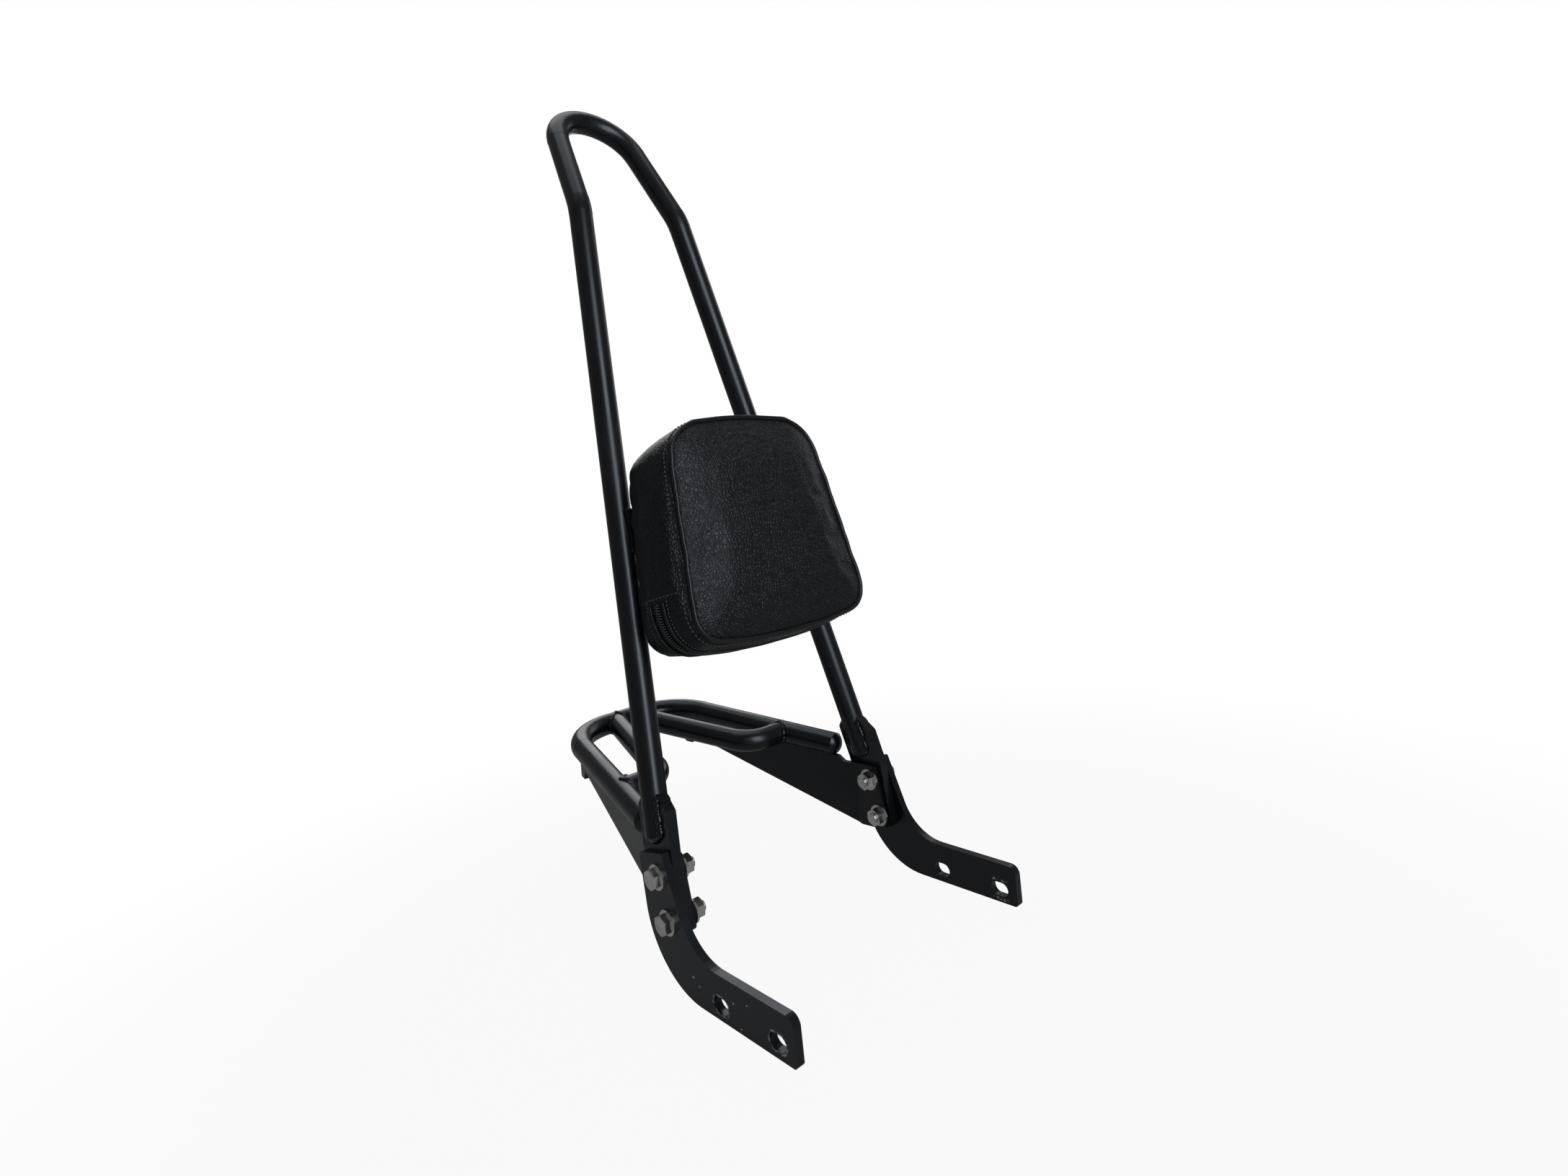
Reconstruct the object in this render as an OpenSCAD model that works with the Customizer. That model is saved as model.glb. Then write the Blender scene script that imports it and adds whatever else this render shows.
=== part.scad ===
// Sissy bar: a bent tube hoop with a zipped back pad and a luggage rack.
// Millimetres. +X is the rider's left, -Y is forward and +Z is up.
// The origin is midway between the side plates and midway between a plate's two slots.

/* [Fender mount] */
// Clear width between the two side plates
fender_w = 220; // [200:1:240]
// Distance between the two slots of a side plate
slot_pitch = 54; // [46:1:64]
// Slot length, end to end
slot_l = 15; // [12:0.5:20]
// Slot width
slot_w = 10.5; // [8.5:0.5:12]

/* [Side plates] */
// Thickness of a side plate
side_t = 6; // [4:0.5:8]
// Depth of the arm below the slots
arm_below = 10; // [8:0.5:14]
// Height of the arm above the slots
arm_above = 20; // [14:0.5:24]
// Front slot's centre to the tip of the arm
arm_tip = 15.3; // [12:0.1:24]
// Rounding of the tip's upper corner
tip_r = 6.6; // [3:0.2:9]
// Rounding of the tip's lower corner
tip_low_r = 2.8; // [1:0.2:6]
// Radius of the throat, in front of the neck
throat_r = 39; // [24:1:44]
// Radius of the heel, behind the neck
heel_r = 56; // [40:1:60]
// Backward lean of the neck's front edge, in degrees
neck_lean = 20.6; // [16:0.2:24]
// Upper frame bolt to the neck's front edge
neck_front = 13.3; // [12:0.1:18]
// Upper frame bolt to the neck's rear edge
neck_rear = 20.5; // [14:0.1:26]
// Upper frame bolt to the top of the neck
neck_top = 13.5; // [12:0.1:18]

/* [Frame bolts] */
// Upper frame bolt behind the middle of the slots
bolt_back = 85.7; // [78:0.1:94]
// Upper frame bolt above the slots
bolt_up = 66.2; // [60:0.1:72]
// Distance between a side's two bolts
bolt_pitch = 30; // [28:0.5:34]
// Lean of the bolt line, in degrees
bolt_lean = 14.4; // [8:0.2:18]
// Thread of the frame bolts
bolt_d = 8; // [6:1:8]
// Play of a bolt in its hole
bolt_play = 1; // [0.4:0.1:1.5]

/* [Hoop] */
// Outer diameter of every tube
tube_d = 19; // [16:0.5:22]
// Wall of every tube
tube_wall = 2; // [1.2:0.1:3]
// Backward lean of the legs, in degrees
leg_lean = 12.8; // [6:0.2:18]
// Inward lean of the legs, in degrees
leg_in = 6.75; // [4:0.05:7]
// Leg axis behind the middle of the slots, at the upright plates' bend
leg_back = 94.6; // [90:0.1:100]
// Height of the upright plates' bend above the slots
bend_up = 80; // [78:0.5:84]
// Height of the legs' lower ends above that bend
leg_foot = 8; // [6:0.5:14]
// Height of the kink above the slots
kink_up = 564.5; // [480:0.5:640]
// Radius of the kink along the tube's axis
kink_r = 45; // [30:1:80]
// Backward lean of the hoop's head, in degrees
head_lean = 30; // [22:0.5:40]
// Kinks to the centre of the top arc
head_l = 76.2; // [60:0.1:100]
// Radius of the top arc along the tube's axis
head_r = 38.8; // [30:0.1:48]

/* [Upright plates] */
// Thickness of an upright plate
upright_t = 8; // [5:0.5:9]
// Leg axis to the upright plate's front edge
upright_front = 19.5; // [15:0.1:22]
// Leg axis to the upright plate's rear edge
upright_rear = 15.8; // [13:0.1:17]
// Height of the upright plate above its bend
upright_top = 38.5; // [30:0.5:48]
// Size of the bevel on the upright plate's upper corners
upright_bevel = 11; // [4:0.5:12]
// Lower frame bolt to the foot of the upright plate
upright_foot = 13.5; // [11:0.5:18]

/* [Rack] */
// Rise of the rack's plane towards the rear, in degrees
rack_rise = 6.7; // [2:0.1:10]
// Inward turn of each rail, in degrees
rail_in = 12.34; // [8:0.02:14]
// Height of the rail axis above the slots, at the gussets' bend
rail_up = 87.4; // [84:0.1:96]
// Gusset's bend behind the middle of the slots, at that height
gusset_bend = 96; // [94:0.1:104]
// Bend to the front end of a rail's tube
rail_front = 27; // [26:0.5:34]
// Bend to the axis of the rear crossbar
rack_l = 214; // [190:1:250]
// Radius of the rack's corners along the axis
rack_r = 48.9; // [34:0.1:56]
// Outward step from the gusset's middle to the rail's axis
rail_step = 4; // [0:0.2:5]
// Rear crossbar to the cross legs of the inner tubes
inner_l = 132.4; // [110:0.2:150]
// Outward splay of the inner tubes, in degrees
inner_splay = 15.3; // [10:0.1:20]
// Gap between the inner tubes at the crossbar
inner_gap = 0.6; // [0.4:0.1:10]
// Radius of the inner tubes' bends along the axis
inner_r = 23.5; // [16:0.5:30]
// Height of the dome on a rail's end cap
cap_dome = 5; // [2:0.5:8]

/* [Gussets] */
// Thickness of a gusset
gusset_t = 4; // [3:0.5:5]
// Depth of the gusset below the rail's axis at the bend
gusset_deep = 63; // [58:0.5:68]
// Depth of the gusset below the rail's axis at its thin end
gusset_thin = 24; // [18:0.5:30]
// Bend to the thin end, beside the hook
gusset_l = 184.7; // [160:0.1:200]
// Width of the bag hook
hook_w = 10; // [6:0.5:14]
// Reach of the bag hook below the gusset's thin end
hook_drop = 8; // [4:0.5:14]
// Depth of the notch in front of the hook
hook_notch = 1.5; // [0.5:0.1:4]

/* [Welds] */
// Radius of a weld bead
bead_r = 2.6; // [1.5:0.1:3.2]

/* [Pad] */
// Lower edge of the pad above the slots
pad_up = 202; // [150:1:300]
// Height of the pad
pad_h = 162; // [130:1:190]
// Width of the pad along its lower edge
pad_w = 168; // [140:1:180]
// Width of the pad along its upper edge
pad_top_w = 134; // [110:1:150]
// Thickness of the pad's sides, piping to back
pad_t = 50; // [36:1:60]
// Rise of the crowned front over the piping
pad_crown = 8; // [3:0.5:12]
// Radius of the pad's lower corners
pad_low_r = 15; // [10:1:24]
// Radius of the pad's upper corners
pad_top_r = 27; // [18:1:36]
// Outward bow of the pad's edges
pad_bow = 2.5; // [1:0.1:5]
// Rounding of the pad's front edge
pad_round = 7; // [4:0.5:10]
// Thickness of the cover's leather
leather_t = 1.2; // [0.8:0.1:2]
// Diameter of the piping
piping_d = 3; // [2:0.2:4]
// Thickness of the board in the pad's back
board_t = 9; // [6:0.5:12]
// Distance from the pad's edge to the board's
board_in = 9; // [6:0.5:14]

/* [Zip] */
// Width of the zip's tape
tape_w = 22; // [16:1:26]
// Width of the closed coil
coil_w = 6; // [4:0.5:8]
// Height of the coil over its tape
coil_t = 1.4; // [1:0.1:2]
// Height of the zip's two ends above the pad's lower edge
zip_end = 22; // [18:1:40]

/* [Pad strap] */
// Thickness of the strap
strap_t = 4; // [3:0.5:6]
// Width of the strap
strap_w = 30; // [22:1:40]
// Middle of the strap above the pad's lower edge
strap_up = 98; // [60:1:120]
// Distance between the two pad screws
screw_pitch = 80; // [50:1:100]
// Thread of the pad screws
screw_d = 6; // [5:1:6]

/* [Hidden] */
$fn = 72;

powder_black = [0.07, 0.07, 0.08];
zinc = [0.75, 0.76, 0.78];
leather_black = [0.1, 0.1, 0.11];
cloth_black = [0.13, 0.13, 0.14];
ply = [0.72, 0.56, 0.36];

tube_r = tube_d / 2;
bore_r = tube_r - tube_wall;
// Room for half spaces and cutters that only have to be large enough
big = 400;
cut = 1;
arc_step = 5;
run_lap = 0.1;
elbow_extra = 0.12;

// Layers from the outside in: side plate, upright plate, gusset
plate_x = fender_w / 2;
upright_x = plate_x - upright_t / 2;
gusset_x = plate_x - upright_t - gusset_t / 2;

// The two bolts of a side, as [y, z]
upper_bolt = [bolt_back, bolt_up];
lower_bolt = upper_bolt - bolt_pitch * [sin(bolt_lean), cos(bolt_lean)];
bolt_spots = [upper_bolt, lower_bolt];

// Hex hardware, in proportion to its thread
washer_d = 2.2 * bolt_d;
washer_t = 0.2 * bolt_d;
head_t = 0.68 * bolt_d;
nut_t = 0.81 * bolt_d;
hex_af = 1.625 * bolt_d;
thread_out = 0.3 * bolt_d;

function unit(v) = v / norm(v);
function flat(p) = [p[0], p[1]];
function spin(v, a) = [v[0] * cos(a) - v[1] * sin(a), v[0] * sin(a) + v[1] * cos(a)];
// Rotation that carries the x, y and z axes onto three square directions
function turn_to(x, y, z) = [atan2(y[2], z[2]), -asin(x[2]), atan2(x[1], x[0])];

// One corner of an outline as an arc that meets both of its edges smoothly
function corner_arc(a, p, b, r) =
    let (d1 = unit(p - a), d2 = unit(b - p))
    let (turn = atan2(cross(d1, d2), d1 * d2))
    let (start = p - d1 * r * tan(abs(turn) / 2))
    let (centre = start + sign(turn) * r * [-d1[1], d1[0]])
    let (steps = max(2, ceil(abs(turn) / arc_step)))
    r < 0.05 ? [p] : [for (k = [0:steps]) centre + spin(start - centre, turn * k / steps)];

// Closed outline through corners given as [x, y, radius]
function rounded(c) = let (n = len(c))
    [for (i = [0:n - 1]) each corner_arc(flat(c[(i + n - 1) % n]), flat(c[i]), flat(c[(i + 1) % n]), c[i][2])];

// Point of the left leg's axis at a height above the slots
function leg_at(z) = [upright_x - tan(leg_in) * (z - bend_up), leg_back + tan(leg_lean) * (z - bend_up), z];

// Sheet drawn in side view as [y, z], from x0 outwards
module sheet(x0, t) translate([x0, 0, 0]) rotate([90, 0, 90]) linear_extrude(t) children();

// Children as they are and mirrored to the right side
module both_sides() {
    children();
    mirror([1, 0, 0]) children();
}

// Straight round bar between two points
module bar(a, b, r) {
    d = b - a;
    translate(a) rotate([0, acos(d[2] / norm(d)), atan2(d[1], d[0])]) cylinder(h = norm(d), r = r);
}

// Section of a tube whose seam is turned by an angle
module ring_section(r, bore, seam) {
    rotate(seam)
        difference() {
            circle(r);
            if (bore > 0)
                circle(bore);
        }
}

// Tube, or bar where bore is 0, that sets off along +Z and follows a list of moves: [length] runs
// straight on, and [radius, turn, roll] is an elbow that turns towards +X once rolled about Z.
// A run laps into its elbows, which are fuller by a hair, so that they fuse into one tube, and
// all of them keep their seam on one line
module follow(moves, r, bore = 0, i = 0, seam = 0) {
    if (i < len(moves)) {
        m = moves[i];
        if (len(m) == 1) {
            before = i == 0 ? 0 : run_lap;
            after = i == len(moves) - 1 ? 0 : run_lap;
            translate([0, 0, -before]) linear_extrude(before + m[0] + after) ring_section(r, bore, seam);
            translate([0, 0, m[0]]) follow(moves, r, bore, i + 1, seam);
        } else {
            rotate([0, 0, m[2]]) translate([m[0], 0, 0]) {
                rotate([90, 0, 180]) rotate_extrude(angle = m[1]) translate([m[0], 0])
                    ring_section(r + elbow_extra, bore - elbow_extra, 180 - seam + m[2]);
                rotate([0, m[1], 0]) translate([-m[0], 0, 0]) follow(moves, r, bore, i + 1, seam - m[2]);
            }
        }
    }
}

// Hexagonal prism on z = 0, with its far corners chamfered at 30 degrees
chamfer_flare = 1.7;
chamfer_share = 0.97;
module hex_blank(af, h) {
    intersection() {
        cylinder(h = h, r = af / sqrt(3), $fn = 6);
        cylinder(h = h, r1 = af / 2 + h * chamfer_flare, r2 = af / 2 * chamfer_share);
    }
}

// Frame bolts: their axis turned outwards, at both bolts of both sides
module at_frame_bolts(x) {
    both_sides()
        for (b = bolt_spots)
            translate([x, b[0], b[1]]) rotate([0, 90, 0]) children();
}

module bolt_holes(x0, t) {
    for (b = bolt_spots)
        translate([x0 - cut, b[0], b[1]]) rotate([0, 90, 0])
            cylinder(h = t + 2 * cut, d = bolt_d + bolt_play);
}

// Side plate: a level arm with two slots and a neck that rises to the frame bolts

slot_spots = [-slot_pitch / 2, slot_pitch / 2];
neck_slope = tan(neck_lean);
neck_top_z = bolt_up + neck_top;
neck_rear_slope = tan(4.5);
// Rise of the neck's top edge from its rear corner to its front corner
top_tilt = 4;
top_drop = 2;
neck_front_r = 1.5;
neck_rear_r = 2;

function neck_front_y(z) = bolt_back - neck_front + neck_slope * (z - bolt_up);
function neck_rear_y(z) = bolt_back + neck_rear + neck_rear_slope * (z - bolt_up);

side_outline = rounded([
    [slot_spots[0] - arm_tip, -arm_below, tip_low_r],
    [neck_rear_y(-arm_below), -arm_below, heel_r],
    [neck_rear_y(neck_top_z - top_drop), neck_top_z - top_drop, neck_rear_r],
    [neck_front_y(neck_top_z + top_tilt), neck_top_z + top_tilt, neck_front_r],
    [neck_front_y(arm_above), arm_above, throat_r],
    [slot_spots[0] - arm_tip, arm_above, tip_r]]);

module slot_cut() {
    for (y = slot_spots)
        for (s = [-1, 1])
            translate([plate_x - cut, y + s * (slot_l - slot_w) / 2, 0]) rotate([0, 90, 0])
                cylinder(h = side_t + 2 * cut, d = slot_w);
    for (y = slot_spots)
        translate([plate_x - cut, y - (slot_l - slot_w) / 2, -slot_w / 2])
            cube([side_t + 2 * cut, slot_l - slot_w, slot_w]);
}

module side_plate() {
    color(powder_black)
        difference() {
            sheet(plate_x, side_t) polygon(side_outline);
            bolt_holes(plate_x, side_t);
            slot_cut();
        }
}

module side_plate_left() side_plate();
module side_plate_right() mirror([1, 0, 0]) side_plate();

// Upright plate: flat behind the side plate, then bent in line with the leg

leg_slope = tan(leg_lean);
foot_z = lower_bolt[1] - upright_foot - bend_up;

upright_foot_r = 9;
upright_top_r = 4;
// Small bend of the plate's front edge, just below the plate's own bend
front_bend_z = -3;
front_bend_r = 30;
bevel_z = upright_top - upright_bevel;

upright_outline = rounded([
    [lower_bolt[0] - leg_back - upright_foot_r, foot_z, upright_foot_r],
    [leg_slope * foot_z + upright_rear, foot_z, upright_foot_r],
    [leg_slope * bevel_z + upright_rear, bevel_z, upright_top_r],
    [leg_slope * upright_top + upright_rear - upright_bevel, upright_top, upright_top_r],
    [leg_slope * upright_top - upright_front + upright_bevel, upright_top, upright_top_r],
    [leg_slope * bevel_z - upright_front, bevel_z, upright_top_r],
    [-upright_front, front_bend_z, front_bend_r]]);

// Frame at the bend, on the plate's middle, with x outwards, y rearwards and z up
module at_upright_bend() translate([upright_x, leg_back, bend_up]) children();

// Bent strip in front view, as [x, z]: two straight halves that meet on the bend's mitre
mitre = upright_t / 2 * tan(leg_in / 2);
upper_in = -sin(leg_in) * 2 * upright_top;
upper_up = cos(leg_in) * 2 * upright_top;
square_x = upright_t / 2 * cos(leg_in);
square_z = upright_t / 2 * sin(leg_in);
upright_strip = [[upright_t / 2, 2 * foot_z], [upright_t / 2, mitre],
    [upper_in + square_x, upper_up + square_z], [upper_in - square_x, upper_up - square_z],
    [-upright_t / 2, -mitre], [-upright_t / 2, 2 * foot_z]];

module upright_blank() {
    at_upright_bend()
        intersection() {
            sheet(-2 * upright_t - upright_top, 4 * upright_t + upright_top) polygon(upright_outline);
            translate([0, big, 0]) rotate([90, 0, 0]) linear_extrude(2 * big) polygon(upright_strip);
        }
}

module upright_plate() {
    color(powder_black)
        difference() {
            upright_blank();
            bolt_holes(upright_x - upright_t / 2, upright_t);
        }
}

module upright_plate_left() upright_plate();
module upright_plate_right() mirror([1, 0, 0]) upright_plate();

// Hoop: one tube, kinked back on both legs and bent over at the top

leg_end = leg_at(bend_up + leg_foot);
kink = leg_at(kink_up);
leg_dir = unit(leg_end - kink);
head_dir = [0, sin(head_lean), cos(head_lean)];
head_side = [0, cos(head_lean), -sin(head_lean)];
head_top = [0, kink[1], kink[2]] + (head_l + head_r) * head_dir;
// Inward turn of the head's sides, which run tangent to the top arc
head_in = acos(head_r / norm([kink[0], head_l])) - atan2(head_l, kink[0]);
head_run = sqrt(kink[0] * kink[0] + head_l * head_l - head_r * head_r);
side_dir = [sin(head_in), 0, 0] - cos(head_in) * head_dir;
side_inward = [-cos(head_in), 0, 0] - sin(head_in) * head_dir;
kink_turn = acos(side_dir * leg_dir);
kink_roll = atan2(leg_dir * head_side, leg_dir * side_inward);
kink_cut = kink_r * tan(kink_turn / 2);

// Left half of the hoop, from the top of its arc down to the leg's end
hoop_moves = [[head_r, 90 - head_in, 0], [head_run - kink_cut], [kink_r, kink_turn, kink_roll],
    [norm(leg_end - kink) - kink_cut]];

module hoop_half(r, bore)
    translate(head_top) rotate(turn_to(-head_dir, head_side, [1, 0, 0])) follow(hoop_moves, r, bore);

module hoop_tube() {
    color(powder_black)
        both_sides()
            difference() {
                hoop_half(tube_r, bore_r);
                upright_blank();
            }
}

// Bead down the tube's front edge, round its foot and up its rear edge, on one face of the plate
bead_seat = sqrt(tube_r * tube_r - upright_t * upright_t / 4);
bead_turn = bead_seat * 0.7;
bead_top_gap = 4;
bead_l = upright_top - bead_top_gap - leg_foot;
bead_moves = [[bead_l], [bead_turn, 90, 0], [2 * (bead_seat - bead_turn)], [bead_turn, 90, 0], [bead_l]];
module leg_bead(side) {
    bead_top = leg_foot + bead_turn + bead_l;
    start = [side * upright_t / 2, leg_slope * bead_top - bead_seat, bead_top];
    at_upright_bend() rotate([0, -leg_in, 0]) translate(start) rotate([-leg_lean, 0, 0])
        rotate(turn_to([0, 1, 0], [1, 0, 0], [0, 0, -1])) follow(bead_moves, bead_r);
}

module hoop_welds() {
    color(powder_black)
        both_sides()
            difference() {
                for (side = [-1, 1])
                    leg_bead(side);
                at_upright_bend() rotate([0, -leg_in, 0]) translate([-upright_t / 2, -big, -big])
                    cube([upright_t, 2 * big, 2 * big]);
                bar(leg_end, kink, tube_r);
            }
}

// Rack: its frame lies at the gussets' bend on the mid-plane, with y along the rack

module at_rack() translate([0, gusset_bend, rail_up]) rotate([rack_rise, 0, 0]) children();

// A side view point [y, z] in the rack's frame
function in_rack(p) = spin([p[0] - gusset_bend, p[1] - rail_up], -rack_rise);

rail_x = gusset_x + rail_step;
rail_slope = tan(rail_in);
function rail_at(s) = [rail_x - rail_slope * s, s, 0];
rail_turn = 90 - rail_in;
rail_cut = rack_r * tan(rail_turn / 2);
rail_l = (rack_l - rail_front) / cos(rail_in);
// Left half of the rail tube, from the middle of the crossbar forwards
rail_moves = [[rail_at(rack_l)[0] - rail_cut], [rack_r, rail_turn, 0], [rail_l - rail_cut]];

module rail_half(r, bore = 0)
    translate([0, rack_l, 0]) rotate(turn_to([0, -1, 0], [0, 0, -1], [1, 0, 0])) follow(rail_moves, r, bore);

module rack_rail_tube() {
    color(powder_black)
        at_rack()
            both_sides() rail_half(tube_r, bore_r);
}

// Inner tube: a leg across to the rail, and a splayed leg back to the crossbar
cope_gap = 0.3;
inner_turn = 90 - inner_splay;
inner_cut = inner_r * tan(inner_turn / 2);
inner_x = tube_r / cos(inner_splay) + inner_gap / 2;
inner_corner = [inner_x + tan(inner_splay) * inner_l, rack_l - inner_l];
inner_end = rail_at(inner_corner[1]);
inner_moves = [[inner_end[0] - inner_corner[0] - inner_cut], [inner_r, inner_turn, 0],
    [inner_l / cos(inner_splay) - inner_cut]];

module inner_bar(r, bore = 0)
    translate(inner_end) rotate(turn_to([0, 1, 0], [0, 0, -1], [-1, 0, 0])) follow(inner_moves, r, bore);

// Its two ends are coped to the rail and to the crossbar
module inner_tube() {
    color(powder_black)
        at_rack()
            difference() {
                inner_bar(tube_r, bore_r);
                rail_half(tube_r + cope_gap);
            }
}

module rack_inner_tube_left() inner_tube();
module rack_inner_tube_right() mirror([1, 0, 0]) inner_tube();

// Domed plug in the front end of each rail
cap_plug = 10;
cap_sphere_r = (tube_r * tube_r + cap_dome * cap_dome) / (2 * cap_dome);
module end_cap() {
    translate([0, 0, -cap_plug]) cylinder(h = cap_plug, r = bore_r);
    intersection() {
        cylinder(h = cap_dome + cut, r = tube_r);
        translate([0, 0, cap_dome - cap_sphere_r]) sphere(cap_sphere_r);
    }
}

module rack_end_caps() {
    color(powder_black)
        at_rack()
            both_sides()
                translate(rail_at(rail_front)) rotate([90, 0, rail_in]) end_cap();
}

// Gusset: flat on the upright plate, then bent inwards under its rail, with a bag hook at the end

// Edges of its flat part past the bolts, and the shoulder where it steps up to the rail
gusset_edge = 11.5;
gusset_front_top = in_rack([bolt_back - 5.5, bolt_up + gusset_edge]);
gusset_front_low = in_rack([lower_bolt[0] - 7, lower_bolt[1] - gusset_edge]);
gusset_step = in_rack([gusset_bend + 16, bolt_up + gusset_edge]);
shoulder_run = 6;
shoulder_r = 4;
heel_before = 4;
heel_round = 6;
corner_r = 5;
front_r = 3;
gusset_top = -tube_r * 0.8;
// The hook: a narrow notch, then a tab that hangs below the thin end
notch_l = 2;
hook_start = gusset_l + 2 * notch_l;
hook_end = hook_start + hook_w;
hook_r = 1.5;
thin_z = -gusset_thin;
hook_z = thin_z - hook_drop;

gusset_outline = rounded([
    [gusset_front_low[0], gusset_front_low[1], corner_r],
    [-heel_before, -gusset_deep, heel_round],
    [gusset_l, thin_z, 0],
    [gusset_l + notch_l, thin_z + hook_notch, 0],
    [hook_start, thin_z - hook_drop / 2, 0],
    [hook_start, hook_z, hook_r],
    [hook_end, hook_z, hook_r],
    [hook_end + notch_l, gusset_top, 0],
    [gusset_step[0] + shoulder_run, gusset_top, 0],
    [gusset_step[0], gusset_step[1], shoulder_r],
    [gusset_front_top[0], gusset_front_top[1], front_r]]);

module gusset_sheet() sheet(-gusset_t / 2, gusset_t) polygon(gusset_outline);

module gusset_blank() {
    at_rack() translate([gusset_x, 0, 0]) {
        intersection() {
            gusset_sheet();
            rotate([0, 0, rail_in / 2]) translate([-big, -big, -big]) cube([2 * big, big, 2 * big]);
        }
        intersection() {
            rotate([0, 0, rail_in]) gusset_sheet();
            rotate([0, 0, rail_in / 2]) translate([-big, 0, -big]) cube([2 * big, big, 2 * big]);
        }
    }
}

module rack_gusset() {
    color(powder_black)
        difference() {
            gusset_blank();
            at_rack() rail_half(tube_r);
            bolt_holes(gusset_x - gusset_t / 2, gusset_t);
        }
}

module rack_gusset_left() rack_gusset();
module rack_gusset_right() mirror([1, 0, 0]) rack_gusset();

// Stitch welds of each gusset to its rail, and a bead round each end of the inner tubes
stitch_l = 16;
stitch_count = 3;
stitch_start = rail_front + 3;
stitch_step = (gusset_l - 2 * stitch_start) / (stitch_count - 1);
stitch_depth = tube_r * 0.92;

module gusset_stitches() {
    for (i = [0:stitch_count - 1]) {
        s = stitch_start + i * stitch_step;
        translate([gusset_x - rail_slope * s, s, -stitch_depth]) rotate([-90, 0, rail_in])
            cylinder(h = stitch_l, r = bead_r + gusset_t / 2);
    }
}

// Ring of weld round an inner tube where it meets the rail or the crossbar
ring_back = tube_r * 0.8;
module weld_ring() rotate_extrude() translate([tube_r, 0]) circle(bead_r);
module inner_rings() {
    translate(inner_end - [ring_back, 0, 0]) rotate([0, 90, 0]) weld_ring();
    translate([inner_x, rack_l, 0]) rotate([90, 0, inner_splay]) translate([0, 0, ring_back]) weld_ring();
}

module rack_welds() {
    color(powder_black)
        both_sides() {
            difference() {
                at_rack() gusset_stitches();
                at_rack() rail_half(tube_r);
                gusset_blank();
            }
            difference() {
                at_rack() inner_rings();
                at_rack() rail_half(tube_r);
                gusset_blank();
                at_rack() inner_bar(tube_r);
                translate([-big, -big, -big]) cube([big, 2 * big, 2 * big]);
            }
        }
}

// Frame hardware: hex head outside, nut and thread end inside

inside_x = gusset_x - gusset_t / 2;
outside_x = plate_x + side_t;
bolt_l = outside_x - inside_x + 2 * washer_t + nut_t + thread_out;

module washer(d, bore, t) {
    difference() {
        cylinder(h = t, d = d);
        translate([0, 0, -cut]) cylinder(h = t + 2 * cut, d = bore);
    }
}

module frame_bolts() {
    color(zinc)
        at_frame_bolts(outside_x + washer_t) {
            hex_blank(hex_af, head_t);
            translate([0, 0, -bolt_l]) cylinder(h = bolt_l, d = bolt_d);
        }
}

washer_play = 0.4;
washer_bore = bolt_d + washer_play;
module head_washers() color(zinc) at_frame_bolts(outside_x) washer(washer_d, washer_bore, washer_t);

module nut_washers() color(zinc) at_frame_bolts(inside_x - washer_t) washer(washer_d, washer_bore, washer_t);

module frame_nuts() {
    color(zinc)
        at_frame_bolts(inside_x - washer_t)
            mirror([0, 0, 1])
                difference() {
                    hex_blank(hex_af, nut_t);
                    translate([0, 0, -cut]) cylinder(h = nut_t + 2 * cut, d = bolt_d);
                }
}

// Pad: its frame stands on the legs' plane, with z up the pad and -y towards the rider

pad_base = leg_at(pad_up);
module at_pad() translate([0, pad_base[1], pad_base[2]]) rotate([-leg_lean, 0, 0]) children();

// Radius that rounds the middle half of an edge, bowed outwards, from the edge's half length
function bow_r(half) = half * half / (2 * pad_bow);

// Pad outlines in front view, drawn in by a margin
function pad_corners(margin) =
    let (w = pad_w / 2 - margin, v = pad_top_w / 2 - margin, h = pad_h - margin)
    let (low = max(3, pad_low_r - margin), high = max(3, pad_top_r - margin), side = pad_h / 2 - margin)
    [[0, margin - pad_bow, bow_r(w)], [w, margin, low], [(w + v) / 2 + pad_bow, pad_h / 2, bow_r(side)],
        [v, h, high], [0, h + pad_bow, bow_r(v)], [-v, h, high],
        [-(w + v) / 2 - pad_bow, pad_h / 2, bow_r(side)], [-w, margin, low]];

module pad_shape(margin) polygon(rounded(pad_corners(margin)));

// A layer of the pad between two depths in front of the legs' plane
module pad_layer(from, to) translate([0, -from, 0]) rotate([90, 0, 0]) linear_extrude(to - from) children();

seat_gap = 0.3;
strap_front = tube_r + strap_t;
pad_back = strap_front + seat_gap;
panel_front = pad_back + leather_t;
seam_front = pad_back + pad_t;
// Rings of the crowned front, as [depth past the seam, margin]: its rounded edge, then its crown
edge_rise = pad_round / 2;
edge_in = leather_t + pad_round;
crown_core = 16;
crown_in = pad_top_w / 2 - edge_in - crown_core;
crown_rings = [for (a = [15:15:90]) [edge_rise * sin(a), leather_t + pad_round * (1 - cos(a))]];
crown_steps = [for (q = [0.25:0.25:1])
    [edge_rise + (pad_crown - edge_rise) * (1 - pow(1 - q, 2)), edge_in + q * crown_in]];

module pad_cushion() {
    color(leather_black)
        at_pad()
            difference() {
                hull() {
                    pad_layer(panel_front, seam_front) pad_shape(leather_t);
                    for (ring = concat(crown_rings, crown_steps))
                        pad_layer(seam_front - cut, seam_front + ring[0]) pad_shape(ring[1]);
                }
                pad_layer(panel_front - cut, panel_front + board_t) pad_shape(board_in);
                at_screws(panel_front + board_t - cut) cylinder(h = tee_flange_t + cut, d = tee_flange_d);
                at_screws(panel_front + board_t - cut) cylinder(h = screw_past + cut, d = screw_d);
            }
}

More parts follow.
